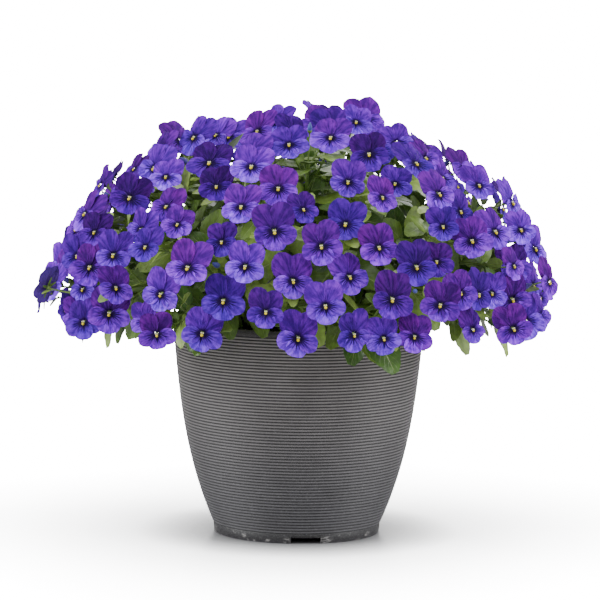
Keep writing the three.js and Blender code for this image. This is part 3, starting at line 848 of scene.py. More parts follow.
# whiskers end before the rim, keep to the middle of a petal, and spare the two upper ones
for fade in (rise(tree, v, 0.74, 0.48), rise(tree, u, 0.16, 0.26), rise(tree, u, 0.84, 0.74),
             rise(tree, kind, 0.2, 0.4)):
    whisker = times(tree, whisker, fade)
halo = rise(tree, calc(tree, "MULTIPLY_ADD", kind, -0.03, reach), 0.17, 0.07)
marks = ((vein, 0.3, rgb(0.04, 0.012, 0.2)), (whisker, 0.92, rgb(0.012, 0.004, 0.05)),
         (halo, 0.95, rgb(0.016, 0.005, 0.055)), (back, 0.65, rgb(0.27, 0.13, 0.74)))
for mask, strength, ink in marks:
    colour = mix(tree, times(tree, mask, strength), colour, ink)
paint(tree, shader, colour, 140.0, 0.88, 1.12)
height = calc(tree, "MULTIPLY_ADD", crease, 2.0, calc(tree, "MULTIPLY_ADD", vein, -0.3, streak))
bumped(tree, shader, height, 0.0012, 0.7)
print("Petals: a violet that runs with the petal, its veins, whiskers and halo.")

# %% [markdown]
# ## Eye, buds, stems and leaves
#
# Each of these has two colours, and a value at its corners says where between them it lies, so that
# one material serves young and old; on leaves deep in the dome that value also carries painted shade.
# The leaf's midrib and side veins come from its own coordinates, like the lines of a petal, and the
# underside is paler, as on the plant.

# %% The eye, the buds and the stems
tree, shader = new_finish("eye", Roughness=0.55)
colour = mix(tree, value_of(tree, "kind"), rgb(1.0, 0.78, 0.02), rgb(0.90, 0.87, 0.55))
paint(tree, shader, colour, 900.0, 0.8, 1.1)

tree, shader = new_finish("bud", Roughness=0.5, Sheen_Weight=0.2)
colour = mix(tree, value_of(tree, "tint"), rgb(0.05, 0.10, 0.42), rgb(0.10, 0.05, 0.42))
paint(tree, shader, colour, 300.0, 0.7, 1.3)

tree, shader = new_finish("stem", Roughness=0.5)
colour = mix(tree, value_of(tree, "tint"), rgb(0.13, 0.24, 0.045), rgb(0.27, 0.38, 0.10))
paint(tree, shader, colour, 120.0, 0.8, 1.2)

# %% The leaves, with a pale midrib and slanting side veins
tree, shader = new_finish("leaf", Roughness=0.34, Specular_IOR_Level=0.55)
u, v = uv_of(tree)
colour = mix(tree, value_of(tree, "tint"), rgb(0.042, 0.120, 0.008), rgb(0.43, 0.62, 0.115))
aside = calc(tree, "ABSOLUTE", calc(tree, "SUBTRACT", u, 0.5))
slant = calc(tree, "MULTIPLY_ADD", aside, -0.75, v)
side_vein = rise(tree, calc(tree, "PINGPONG", slant, 0.072), 0.0105, 0.0)
side_vein = times(tree, side_vein, rise(tree, aside, 0.47, 0.25))
midrib = rise(tree, aside, calc(tree, "MULTIPLY_ADD", v, -0.035, 0.05), 0.004)
veins = calc(tree, "MAXIMUM", midrib, times(tree, side_vein, 0.5))
colour = mix(tree, times(tree, veins, 0.6), colour, rgb(0.36, 0.46, 0.16))
colour = mix(tree, times(tree, value_of(tree, "back"), 0.5), colour, rgb(0.24, 0.33, 0.12))
patches = paint(tree, shader, colour, 160.0, 0.78, 1.2)
height = calc(tree, "MULTIPLY_ADD", veins, -1.0, times(tree, patches, 0.6))
bumped(tree, shader, height, 0.0006, 0.5)

# %% [markdown]
# ## The pot's plastic
#
# The planter is dark grey plastic that is brushed pale on the crests of its ribs, in streaks that
# run round it, and it has chalky scuffs on its foot. The skin of the pot carries how much of a crest
# each ring is, which is surer than guessing it from the curvature. Heights are in metres here.
# Its colour is also painted darker towards the foot and lighter towards the rim, as painted shade and
# painted light.

# %% The pot's plastic, rubbed pale on the crests of its ribs
tree, shader = new_finish("pot_plastic", Specular_IOR_Level=0.45)
place_in = place_of(tree)
split = tree.nodes.new("ShaderNodeSeparateXYZ")
tree.links.new(place_in, split.inputs[0])
level = split.outputs["Z"]
grain = noise_of(tree, 1400.0, detail=2.0, rough=0.7)
drag = noise_of(tree, 40.0, detail=6.0, rough=0.75, stretch=(1, 1, 14))
crest = rise(tree, value_of(tree, "reach"), 0.55, 1.0)
worn = calc(tree, "MULTIPLY", crest, calc(tree, "MULTIPLY_ADD", drag, 1.1, 0.25), clamp=True)
colour = mix(tree, worn, rgb(0.025, 0.024, 0.026), rgb(0.182, 0.177, 0.185))
# painted shade darkens the pot towards the foot and painted light brightens it towards the belly; more
# painted light goes under the rim, where the leaves shade it
low, high = scaled(tree, colour, 0.66, 0.66, 0.69), scaled(tree, colour, 1.45, 1.38, 1.30)
colour = mix(tree, rise(tree, level, 0.02, 0.2), low, high)
# painted light under the rim, against the shade of the leaves above
colour = mix(tree, rise(tree, level, 0.145, 0.205), colour, scaled(tree, colour, 1.3, 1.3, 1.28))
colour = mix(tree, times(tree, rise(tree, grain, 0.52, 0.7), 0.35), colour, rgb(0.33, 0.33, 0.34))

# %% Chalk and scuffs on its foot
# the middle of each scuff and how far it reaches, in metres
SCUFFS = (((0.028, -0.081, 0.004), 0.012), ((-0.010, -0.085, 0.003), 0.005),
          ((-0.083, -0.018, 0.006), 0.008), ((-0.053, -0.066, 0.006), 0.004),
          ((0.071, -0.046, 0.005), 0.005))
chalk = rise(tree, noise_of(tree, 90.0, detail=5.0, rough=0.7), 0.56, 0.68)
chalk = times(tree, chalk, rise(tree, level, 0.012, 0.004))
colour = mix(tree, times(tree, chalk, 0.6), colour, rgb(0.42, 0.41, 0.40))
flecks = rise(tree, noise_of(tree, 500.0, detail=3.0, rough=0.7, stretch=(0.4, 0.4, 2.0)), 0.47, 0.6)
flecks = times(tree, flecks, rise(tree, level, 0.0085, 0.005))
for scuff, size in SCUFFS:
    away = tree.nodes.new("ShaderNodeVectorMath")
    away.operation, away.inputs[1].default_value = "DISTANCE", scuff
    tree.links.new(place_in, away.inputs[0])
    mark = times(tree, rise(tree, away.outputs["Value"], size, 0.4 * size), flecks)
    colour = mix(tree, times(tree, mark, 0.65), colour, rgb(0.45, 0.44, 0.43))
patches = paint(tree, shader, colour, 25.0, 0.92, 1.08)
plug(tree, shader.inputs["Roughness"], calc(tree, "MULTIPLY_ADD", patches, 0.14, 0.48))
bumped(tree, shader, grain, 0.0002, 0.5)

# %% The potting mix
for name, dark, light in (("peat", rgb(0.022, 0.013, 0.008), rgb(0.085, 0.052, 0.03)),
                          ("bark", rgb(0.05, 0.026, 0.014), rgb(0.16, 0.09, 0.05)),
                          ("perlite", rgb(0.5, 0.48, 0.44), rgb(0.78, 0.77, 0.73))):
    tree, shader = new_finish(name, Roughness=0.9)
    speck = noise_of(tree, 500.0, detail=4.0, rough=0.7)
    colour = mix(tree, rise(tree, speck, 0.35, 0.65), dark, light)
    paint(tree, shader, colour, 70.0, 0.75, 1.25)
    bumped(tree, shader, speck, 0.0015, 0.6)
print("Finishes:", ", ".join(finishes))

# %% [markdown]
# ## The planter
#
# A moulded plastic pot turned on its own axis: a plain foot band, 64 fine ribs, and a smooth lip.
# The rings of the skin are spaced so that each rib gets a rounded crest and a narrow groove. Three
# notches in the foot let water run off, and four drain holes go through the floor. They are cut
# from the turned body, as in the solids.

# %% Dimensions of the planter
RIBS = 64
RIB_DEPTH = 0.9
RIB_OUTLINE = ((0, 0), (0.22, 0.75), (0.5, 1), (0.78, 0.75))  # shares of the pitch and of the depth
POT_SIDES = 108
FLOOR_LEVEL, FLOOR_TOP = 7.0, 10.5
INNER_RING = 40.0
NOTCHES, NOTCH_WIDTH, NOTCH_HEIGHT, NOTCH_TURN = 3, 30.0, 6.0, math.radians(-83.5)
DRAIN_HOLES, DRAIN_RADIUS, DRAIN_CIRCLE = 4, 6.0, 48.0


def pot_radius(z):
    if z < FOOT_HEIGHT:
        return FOOT_RADIUS + z / FOOT_HEIGHT
    u = (z - FOOT_HEIGHT) / (POT_HEIGHT - FOOT_HEIGHT)
    flare = (1 - BELLY) * u + BELLY * (1 - (1 - u) ** BELLY_POWER)
    return FOOT_RADIUS + 1 + (RIM_RADIUS - FOOT_RADIUS - 1) * flare


def inner_radius(z):
    """The inner wall runs straight between the levels where the solid has its corners."""
    levels = [FLOOR_TOP, 40, 100, POT_HEIGHT]
    return np.interp(z, levels, [pot_radius(level) - WALL for level in levels[:3]] + [RIM_RADIUS - WALL])


def turned_rings(profile, sides):
    turns = np.arange(sides) * 2 * math.pi / sides
    return np.array([[(r * math.cos(t), r * math.sin(t), z) for t in turns] for r, z in profile])


# %% The turned body of the pot
ribs_to = POT_HEIGHT - LIP_HEIGHT
pitch = (ribs_to - FOOT_HEIGHT) / RIBS
# each corner of the outline has its radius, its height, and how much of a worn crest it is
outside = [(FOOT_RADIUS - 0.6, 0, 0.4), (FOOT_RADIUS, 0.6, 0.7),
           (FOOT_RADIUS + 0.6, 4.5, 0.5), (FOOT_RADIUS + 0.9, 9, 0.5)]
for rib in range(RIBS):
    for share, crest in RIB_OUTLINE:
        z = FOOT_HEIGHT + (rib + share) * pitch
        outside.append((pot_radius(z) + RIB_DEPTH * (crest - 0.5), z, crest))
lip = RIM_RADIUS + LIP_STANDS_OUT / 2
outside += [(pot_radius(ribs_to) - 0.4, ribs_to, 0), (lip - 0.3, ribs_to + 0.7, 0.6),
            (lip, ribs_to + 1.6, 0.6), (lip, POT_HEIGHT - 1.4, 0.6),
            (lip - 0.6, POT_HEIGHT - 0.4, 0.9), (lip - 1.6, POT_HEIGHT, 0.7)]
inside = [(RIM_RADIUS - WALL + 0.4, POT_HEIGHT, 0.5), (RIM_RADIUS - WALL, POT_HEIGHT - 0.6, 0.4)]
inside += [(inner_radius(z), z, 0.4) for z in (190, 150, 100, 70, 40, 20, FLOOR_TOP)]
under = [(INNER_RING, FLOOR_LEVEL, 0.3), (FOOT_RADIUS - WALL - 1, FLOOR_LEVEL, 0.3),
         (FOOT_RADIUS - WALL, 0, 0.4)]
profile = under + outside + inside + [(INNER_RING, FLOOR_TOP, 0.4)]
rings = turned_rings([(r, z) for r, z, crest in profile], POT_SIDES)
crests = np.append(np.repeat([crest for r, z, crest in profile], POT_SIDES), [0.3, 0.4])
body = Shape("pot_plastic")
body.add(*skin(rings, (0, 0, FLOOR_LEVEL), (0, 0, FLOOR_TOP)), "pot_plastic", reach=crests)
print("The pot's skin has", len(profile), "rings and ribs", round(pitch, 2), "mm apart.")

# %% Notches and drain holes cut from it
cutters = Shape("pot_plastic")
notch_corners = ((-1, -NOTCH_HEIGHT), (1, -NOTCH_HEIGHT), (1, NOTCH_HEIGHT), (-1, NOTCH_HEIGHT))
for i in range(NOTCHES):
    turn = NOTCH_TURN + i * 2 * math.pi / NOTCHES
    ahead = np.array([math.cos(turn), math.sin(turn), 0])
    aside = np.array([-ahead[1], ahead[0], 0]) * NOTCH_WIDTH / 2
    corners = [s * aside + (0, 0, z) for s, z in notch_corners]
    block = np.array([[c + ahead * r for c in corners] for r in (FOOT_RADIUS - 15, FOOT_RADIUS + 15)])
    cutters.add(*skin(block, block[0].mean(0), block[1].mean(0)), "pot_plastic")
for i in range(DRAIN_HOLES):
    turn = (i + 0.5) * 2 * math.pi / DRAIN_HOLES
    middle = np.array([DRAIN_CIRCLE * math.cos(turn), DRAIN_CIRCLE * math.sin(turn), 0])
    cutters.add(*tube([middle + (0, 0, z) for z in (2, 14)], DRAIN_RADIUS, 24), "pot_plastic")
whole = bpy.data.objects.new("whole_pot", body.mesh("whole_pot"))
cutter = bpy.data.objects.new("cutter", cutters.mesh("cutter"))
for item in (whole, cutter):
    bpy.context.scene.collection.objects.link(item)
cut = whole.modifiers.new("Notches", "BOOLEAN")
cut.object, cut.operation, cut.solver = cutter, "DIFFERENCE", "EXACT"
bpy.context.view_layer.update()
pot_mesh = bpy.data.meshes.new_from_object(whole.evaluated_get(bpy.context.evaluated_depsgraph_get()))
pot_mesh.name = "planter"
for item in (whole, cutter):
    bpy.data.objects.remove(item)
place(pot_mesh, "pot_plastic", "pot")
print("The planter has", len(pot_mesh.polygons), "faces after cutting", NOTCHES, "notches and",
      DRAIN_HOLES, "holes.")

# %% [markdown]
# ## The potting mix
#
# Dark peat with bark crumbs and white grains of perlite. Little of it shows under the leaves, so a
# bumpy mound of peat with some loose grains half sunk in it is enough.

# %% The mound and its grains
SOIL_TURNS = 72
GRAINS = 200
loose = Draws(SEED + 100)


def soil_height(x, y):
    """A low mound with broad bumps and crumbs on it."""
    edge = 1 - (x * x + y * y) / inner_radius(SOIL_LEVEL) ** 2
    bump = noise.noise(Vector((x * 0.06, y * 0.06, 3.1))) * 1.6
    bump += noise.noise(Vector((x * 0.25, y * 0.25, 7.7))) * 0.9
    return SOIL_LEVEL + SOIL_MOUND * min(1, 1.6 * edge) + bump * min(1, 6 * edge + 0.2)


walls = (FLOOR_TOP, 40, 100, 150, 190, SOIL_LEVEL - 2)
profile = [(INNER_RING, FLOOR_TOP + SOIL_GAP)]
profile += [(inner_radius(z) - 1.5 * SOIL_GAP, z + SOIL_GAP * (z == FLOOR_TOP)) for z in walls]
edge = inner_radius(SOIL_LEVEL) - 1.5 * SOIL_GAP
profile += [(edge * share, SOIL_LEVEL) for share in np.linspace(1, 0.04, 26)]
rings = turned_rings(profile, SOIL_TURNS)
for ring in rings[1 + len(walls):]:
    for corner in ring:
        corner[2] = soil_height(corner[0], corner[1])
mix_shape = Shape("peat", "bark", "perlite")
mix_shape.add(*skin(rings, (0, 0, FLOOR_TOP + SOIL_GAP), (0, 0, soil_height(0, 0))), "peat")
for grain in range(GRAINS):
    white = grain % 3 > 0
    out, turn = edge * 0.97 * math.sqrt(loose.draw()), loose.spread(0, 2 * math.pi)
    size = loose.spread(1.0, 2.6) if white else loose.spread(2.5, 5.5)
    middle = np.array([out * math.cos(turn), out * math.sin(turn), 0])
    middle[2] = soil_height(middle[0], middle[1]) + 0.25 * size
    spin = loose.spread(0, 2 * math.pi)
    half = np.array([math.cos(spin), math.sin(spin), loose.spread(-0.3, 0.3)]) * size * (0.6 if white else 1)
    girth = size * (0.75 if white else 0.4)
    points, faces = pod(middle - half, middle + half, girth, (0.35, 0.85, 1, 0.8, 0.3), 6)
    points = points + np.array([[loose.spread(-0.12, 0.12) * size for _ in range(3)] for _ in points])
    mix_shape.add(points, faces, "perlite" if white else "bark")
place(mix_shape.mesh("mix_of_peat"), "potting_mix", "potting_mix")
print("The potting mix carries", GRAINS, "loose grains.")

# %% [markdown]
# ## Small leaves and buds
#
# Between the blooms the real plant is full of smaller leaves and bluish buds. They are drawn after
# the plan, in rounds of one for each stem, and each keeps clear of everything that is already there.
# Large leaves deep in the dome come first, so that daylight doesn't show through it, and they are
# coloured darker as painted shade. Small ones then fill the gaps behind and between the blooms.

# %% Where a small leaf may grow
SMALL_LEAVES_EACH = 96
SMALL_TRIES = 20
SMALL_SHRINK = 0.4
SMALL_CLEAR = 0.2
FIRST_LEAVES_EACH = 16
# where along the stem or the stalk it grows, its shortest and longest, and how far it leans outward
SMALL_KINDS = {"inner": (0.1, 0.8, 46, 62, 0.1, 1.3), "shoulder": (0.5, 1.0, 38, 56, -0.3, 1.0),
               "tip": (0.7, 1.0, 24, 42, 0.1, 1.3), "rim": (0.35, 0.95, 30, 50, 0.1, 0.8),
               "middle": (0.2, 0.7, 19, 34, 0.1, 1.3), "surface": (0.4, 0.9, 14, 28, 0.5, 3.0),
               "ledge": (0.15, 0.9, 24, 44, -0.2, 1.2), "core": (0.05, 0.6, 24, 50, 0.0, 1.0)}
FIRST_KINDS = ("inner", "shoulder")
LATER_KINDS = ("core", "ledge", "surface", "shoulder", "core", "rim", "surface", "ledge", "middle",
               "surface")
ON_STALKS = ("middle", "surface", "ledge")
LEVEL_KINDS = ("shoulder", "ledge")  # these lie flat and close the dome seen from above
SHADED_KINDS = ("inner", "shoulder", "core")
SHADED = 0.4  # painted shade: leaves inside the dome are coloured darker
SHADED_ROWS, LIT_ROWS = 7, 9
ABOVE = np.array([0.0, 0.0, 1.0])
extra = Draws(SEED + 200)


def small_leaf_axis(level, spray, aside, up, away):
    least, most = SMALL_KINDS[level][4:]
    if level == "rim":
        return unit(away * extra.spread(least, most) + aside * extra.spread(-0.8, 0.8) - ABOVE)
    if level in LEVEL_KINDS:
        axis = away * extra.spread(least, most) + aside * extra.spread(-1, 1)
        return unit(axis + ABOVE * extra.spread(-0.2, 0.3))
    turn = extra.spread(0, 2 * math.pi)
    return unit(aside * math.cos(turn) + up * math.sin(turn) + spray.outward * extra.spread(least, most))


def across_and_up(spray):
    """Two directions square to the one in which the spray grows: level, and slanting upward."""
    aside = unit(np.array([-spray.outward[1], spray.outward[0], 0]))
    return aside, np.cross(spray.outward, aside)


def try_small_leaf(spray, kept):
    """A leaf in what room is left: deep among the stems first, then nearer to the blooms."""
    kinds = FIRST_KINDS if kept < FIRST_LEAVES_EACH else LATER_KINDS
    level = kinds[kept % len(kinds)]
    if level == "rim" and spray.points[-1][2] > RIM_LEAF_BELOW:
        level = "tip"
    start, end, shortest, longest = SMALL_KINDS[level][:4]
    if level in ON_STALKS:
        bloom = spray.blooms[kept % len(spray.blooms)]
        base = bloom.base + (bloom.back - bloom.base) * extra.spread(start, end)
    else:
        base = bezier(spray.arch, extra.spread(start, end))
    aside, up = across_and_up(spray)
    away = np.array([aside[1], -aside[0], 0])
    for step in range(SMALL_TRIES):
        axis = small_leaf_axis(level, spray, aside, up, away)
        length = extra.spread(shortest, longest) * (1 - SMALL_SHRINK * step / SMALL_TRIES)
        width = length * extra.spread(0.38 if level == "surface" else 0.46, 0.62)
        facing = spray.outward * extra.spread(0.1, 1) + away * extra.spread(0, 1)
        facing = facing + aside * extra.spread(-0.5, 0.5)
        facing = facing + ABOVE * (2 if level in LEVEL_KINDS else extra.spread(0, 1))
        leaf = try_leaf(spray, base, axis, length, width, ovals, runs, SMALL_CLEAR, facing)
        if leaf:
            leaf.level = level
            # leaves deep in the dome are coloured darker as painted shade
            shaded = level in SHADED_KINDS
            leaf.fresh, leaf.rows = (SHADED, SHADED_ROWS) if shaded else (1.0, LIT_ROWS)
            return leaf
    return None


# %% Where a bud may stand
BUD_TRIES = 14
BUD_LENGTH = 4.5  # in radii of the bud


def run_is_clear(start, end, radius, spray):
    if ovals.meet_run(start, end, radius, None, SMALL_CLEAR):
        return False
    return not runs.meet_run(start, end, radius, spray.index, SMALL_CLEAR)


def try_bud(spray):
    """A bud on its own stalk, in a gap between the blooms."""
    aside, up = across_and_up(spray)
    base = spray.points[-2] + (spray.points[-1] - spray.points[-2]) * extra.spread(0.5, 0.95)
    for _ in range(BUD_TRIES):
        turn, lean = extra.spread(0, 2 * math.pi), extra.spread(0.1, 0.75)
        axis = unit(spray.outward + lean * (aside * math.cos(turn) + up * math.sin(turn)))
        tip = base + axis * extra.spread(42, 60)
        size = extra.spread(2.2, 3.6)
        neck = tip - axis * size * BUD_LENGTH
        if run_is_clear(base, neck, STALK_RADIUS, spray) and run_is_clear(neck, tip, size, spray):
            runs.add(base, neck, STALK_RADIUS, spray.index)
            runs.add(neck, tip, size, -2)
            return base, neck, tip, size
    return None


for spray in sprays:
    bud = try_bud(spray)
    if bud:
        spray.buds.append(bud)
for kept in range(SMALL_LEAVES_EACH):
    for spray in sprays:
        leaf = try_small_leaf(spray, kept)
        if leaf:
            spray.leaves.append(leaf)
grown = [leaf.level for spray in sprays for leaf in spray.leaves[LARGE_LEAVES:]]
print("Room was found for", len(grown), "small leaves and", sum(len(s.buds) for s in sprays), "buds.")
print("By where they grow these are", {level: grown.count(level) for level in SMALL_KINDS})

# %% [markdown]
# ## Blooms
#
# A pansy has two broad upper petals that lie behind, two side petals before them, and a lower petal
# shaped like a fan. Each petal is a sheet whose lines run from the throat to its rim, so that veins
# and whiskers follow them by themselves. The rims ripple, and each bloom differs a little.

# %% One petal as a grid of points
PETAL_COLUMNS, PETAL_ROWS = 12, 8
PETAL_THICKNESS = 0.35
PETAL_TURN = 2.6
# throat, middle, half sizes, squareness, lift, bend at the rim, ripple and kind of each petal, with
# lengths as shares of the bloom's width
PETALS = (
    ((0.02, 0.03), (0.190, 0.312), (0.270, 0.300), 2.2, -0.036, -0.075, 0.024, 0.0),
    ((-0.02, 0.03), (-0.190, 0.312), (0.270, 0.300), 2.2, -0.022, -0.065, 0.024, 0.0),
    ((0.0, -0.02), (0.0, -0.235), (0.262, 0.205), 2.35, -0.006, 0.050, 0.022, 1.0),
    ((0.02, 0.0), (0.262, -0.085), (0.226, 0.215), 2.2, 0.008, 0.020, 0.021, 0.5),
    ((-0.02, 0.0), (-0.262, -0.085), (0.226, 0.215), 2.2, 0.008, 0.020, 0.021, 0.5),
)
petal_u = np.linspace(-1, 1, PETAL_COLUMNS)
petal_v = np.linspace(0.06, 1, PETAL_ROWS)
shapes = Draws(SEED + 300)


def petal_points(petal, draws):
    throat, middle, half, square, lift, bend, ripple, kind = petal
    throat, middle = np.array(throat), np.array(middle)
    size = draws.spread(0.89, 1.03)
    outward = math.atan2(middle[1] - throat[1], middle[0] - throat[0])
    turns = outward - PETAL_TURN * petal_u
    cos, sin = np.cos(turns), np.sin(turns)
    rim = np.stack([np.sign(cos) * np.abs(cos) ** (2 / square) * half[0],
                    np.sign(sin) * np.abs(sin) ** (2 / square) * half[1]], -1) + middle
    notch = 1 - 0.05 * (kind == 1) * np.exp(-(petal_u / 0.1) ** 2)
    wobble = 1 + 0.018 * np.sin(draws.spread(5, 9) * petal_u + draws.spread(0, 6))
    v = petal_v[:, None]
    flat = throat + (rim - throat) * (size * notch * wobble)[:, None] * v[..., None]
    reach = np.linalg.norm(flat, axis=-1)
    waves = np.sin(draws.spread(6.5, 10) * petal_u + draws.spread(0, 6))
    waves = waves + 0.5 * np.sin(17 * petal_u + draws.spread(0, 6))
    deep = lift + bend * draws.spread(0.2, 1.5) * (reach / 0.55) ** 2
    deep = deep + ripple * waves * v ** 2.5
    deep = deep + 0.03 * draws.spread(-1, 1) * petal_u * v ** 2
    return np.dstack([flat, deep]), reach


# %% One bloom: petals, eye, spur and sepals
SEPALS = 5
# lengths as shares of the bloom's width: the eye, its two pale bumps, the spur, the neck, a sepal
EYE_RADIUS, BUMP_RADIUS, SPUR_RADIUS, NECK_RADIUS = 0.035, 0.02, 0.03, 0.055
SEPAL_FROM, SEPAL_LENGTH, SEPAL_HALF_WIDTH = 0.03, 0.25, 0.042
ROUND = (0.25, 0.8, 1, 0.8, 0.25)
petal_coords = np.stack(np.broadcast_arrays(0.5 + 0.5 * petal_u, petal_v[:, None]), -1).reshape(-1, 2)
petal_coords = np.tile(petal_coords, (2, 1))
sepal_share = np.linspace(0, 1, 4)[:, None]
sepal_beside = SEPAL_HALF_WIDTH * np.array([0.75, 1, 0.7, 0.08])[:, None] * np.array([-1, 0, 1])
sepal_deep = -0.085 - 0.035 * sepal_share + 0.02 * np.abs(np.array([-1, 0, 1]))


def add_bloom(petals, greens, bloom, draws):
    w = bloom.width
    axes = np.array([bloom.across, bloom.along, bloom.look])
    tint, glow = to_share(draws.spread(-0.2, 1.3)), draws.draw()

    def at(x, y, z):
        return bloom.eye + w * (np.array([x, y, z]) @ axes)

    for petal in PETALS:
        grid, reach = petal_points(petal, draws)
        points, faces, back = blade(bloom.eye + w * (grid @ axes), PETAL_THICKNESS)
        own = dict(kind=petal[-1], reach=np.tile(reach.ravel(), 2), back=back)
        own["tint"] = to_share(tint + draws.spread(-0.15, 0.15))
        # painted light: how brightly each bloom, and each of its petals, is coloured as lit
        own["light"] = to_share(glow + draws.spread(-0.2, 0.2))
        petals.add(points, faces, "petal", petal_coords, **own)
    petals.add(*pod(at(0, -0.008, 0.030), at(0, -0.074, 0.026), EYE_RADIUS * w, ROUND), "eye")
    for side in (-1, 1):
        start, end = at(0.008 * side, 0.0, 0.026), at(0.032 * side, 0.026, 0.02)
        petals.add(*pod(start, end, BUMP_RADIUS * w, ROUND, 6), "eye", kind=1)
    spur = pod(at(0, -0.05, -0.04), at(0, -0.1, -0.2), SPUR_RADIUS * w, (0.6, 0.9, 1, 0.9, 0.4), 6)
    petals.add(*spur, "petal", tint=tint, back=1)
    neck = pod(at(0, 0.01, -0.035), bloom.back, NECK_RADIUS * w, (0.7, 1, 0.9, 0.6))
    greens.add(*neck, "stem", tint=0.6)
    for k in range(SEPALS):
        turn = math.radians(90 + 360 / SEPALS * k + draws.spread(-9, 9))
        ahead = (SEPAL_FROM + SEPAL_LENGTH * sepal_share)[..., None] * (math.cos(turn), math.sin(turn))
        flat = ahead + sepal_beside[..., None] * (-math.sin(turn), math.cos(turn))
        points, faces, back = blade(bloom.eye + w * (np.dstack([flat, sepal_deep]) @ axes), 0.4)
        greens.add(points, faces, "stem", tint=0.3)


# %% [markdown]
# ## Leaves, buds and stems
#
# A pansy leaf is a long oval with a blunt scalloped edge on a short stalk. It arches along its
# length, is folded a little at the midrib, and waves at the edge. A subdivided plane could be bent
# to that by modifiers, but a formula over a grid makes each one differ and is quick. Stems and
# stalks are tubes along curves, with no end in the air.

# %% One leaf: its stalk and its scalloped blade
LEAF_TOOTH = 0.10
LARGE_ACROSS, SMALL_ACROSS = (-1, -0.62, -0.25, 0, 0.25, 0.62, 1), (-1, -0.5, 0, 0.5, 1)


def add_leaf(greens, leaf, rows, teeth, x, draws):
    across, axis, face, length = leaf.across, leaf.axis, leaf.face, leaf.length
    x, t = np.array(x), np.linspace(0, 1, rows)
    half = 0.5 * leaf.width * np.sin(math.pi * (0.04 + 0.93 * t ** 0.72)) ** 0.62
    tooth = np.abs(np.sin(math.pi * (teeth * t + 0.2)))
    rim = np.where(np.abs(x) == 1, 1 - LEAF_TOOTH * (1 - tooth[:, None]), 1)
    y = PETIOLE + (1 - PETIOLE) * t
    arch = 0.05 * length * np.sin(math.pi * y)
    curl = draws.spread(-0.03, 0.05) * length
    fold = draws.spread(0.02, 0.16)
    wave = np.sin(math.pi * (draws.spread(2, 4) * t[:, None] + draws.spread(0, 2) * x))
    z = arch[:, None] - curl * t[:, None] ** 2 + fold * half[:, None] * (np.abs(x) - 0.3)
    z = z + 0.012 * length * wave * x ** 2
    points = leaf.base + (half[:, None] * x * rim)[..., None] * across
    points = points + (y * length)[:, None, None] * axis + z[..., None] * face
    points, faces, back = blade(points, 0.5)
    coords = np.stack([np.tile(0.5 + 0.5 * x, rows), np.repeat(t, len(x))], -1)
    # leaves deep in the dome take their painted shade through this factor
    tint = draws.draw() ** 1.2 * leaf.fresh
    greens.add(points, faces, "leaf", np.tile(coords, (2, 1)), tint=tint, back=back)
    neck = leaf.base + axis * PETIOLE * length * 1.25 + face * arch[0]
    path = [leaf.base, leaf.base + (neck - leaf.base) * 0.5 + face * 0.1 * arch[0], neck]
    greens.add(*tube(path, [0.95, 0.8, 0.6], 5), "stem", tint=tint)


# %% One bud on its stalk, in its green cup
BUD_OUTLINE = (0.35, 0.85, 1, 0.95, 0.75, 0.5, 0.2)
CUP_OUTLINE = (0.4, 0.85, 1.0, 0.9)


def add_bud(greens, base, neck, tip, size, draws):
    stalk = [base, 0.5 * (base + neck) + (0, 0, 1), neck]
    greens.add(*tube(stalk, [0.95, 0.8, 0.8], 6), "stem", tint=0.55)
    greens.add(*pod(neck + (tip - neck) * 0.12, tip, size, BUD_OUTLINE, 10), "bud", tint=draws.draw())
    greens.add(*pod(neck, neck + (tip - neck) * 0.35, size * 1.02, CUP_OUTLINE), "stem", tint=0.2)


# %% The stem and the bent stalks of its blooms
STEM_STEPS, STALK_STEPS = 16, 9


def add_stem(greens, spray):
    arch = [bezier(spray.arch, t) for t in np.linspace(0, 1, STEM_STEPS)]
    path = np.array([spray.points[0]] + arch)
    greens.add(*tube(path, np.linspace(STEM_RADIUS, 1.5, len(path)), 8), "stem", tint=0.35)


def add_stalk(greens, bloom):
    way = bloom.back - bloom.base
    bend = bloom.back - bloom.look * 0.16 * np.linalg.norm(way)
    corners = (bloom.base, bloom.base + way * 0.45, bend, bloom.back)
    path = [bezier(corners, t) for t in np.linspace(0, 1, STALK_STEPS)]
    greens.add(*tube(path, np.linspace(1.05, 0.8, STALK_STEPS), 6), "stem", tint=0.55)


# %% Each spray as its blooms and its greens
def triangles_of(mesh):
    return sum(len(face.vertices) - 2 for face in mesh.polygons)


for spray in sprays:
    petals, greens = Shape("petal", "eye"), Shape("leaf", "stem", "bud")
    add_stem(greens, spray)
    for bloom in spray.blooms:
        add_bloom(petals, greens, bloom, shapes)
        add_stalk(greens, bloom)
    for leaf in spray.leaves[:LARGE_LEAVES]:
        add_leaf(greens, leaf, 25, 6, LARGE_ACROSS, shapes)
    for leaf in spray.leaves[LARGE_LEAVES:]:
        add_leaf(greens, leaf, leaf.rows, 3, SMALL_ACROSS, shapes)
    for bud in spray.buds:
        add_bud(greens, *bud, shapes)
    name = f"spray_{spray.index + 1:02d}"
    place(petals.mesh(f"{name}_blooms"), "plant", name)
    place(greens.mesh(f"{name}_greens"), "plant", name)
pieces = [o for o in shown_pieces() if o.name not in nodes]
total = sum(triangles_of(o.data) for o in pieces)
print("The dressed part has", len(pieces), "pieces and", total, "triangles.")

# %% [markdown]
# ## Stage, light and camera
#
# The photograph was taken in a white studio with light from all round. A pale floor under an even
# sky gives its white ground, and painted shadow in the floor's colour, darker where ambient occlusion
# finds the planter near, deepens its soft shadows. Wide lamps on both sides light the pot's flanks
# and model the petals, and a weak one in front and one behind fill the shade. The camera stands
# far off with a long lens, as the pot's nearly straight rim and foot tell.

# %% Floor and sky
FLOOR_HALF = 30
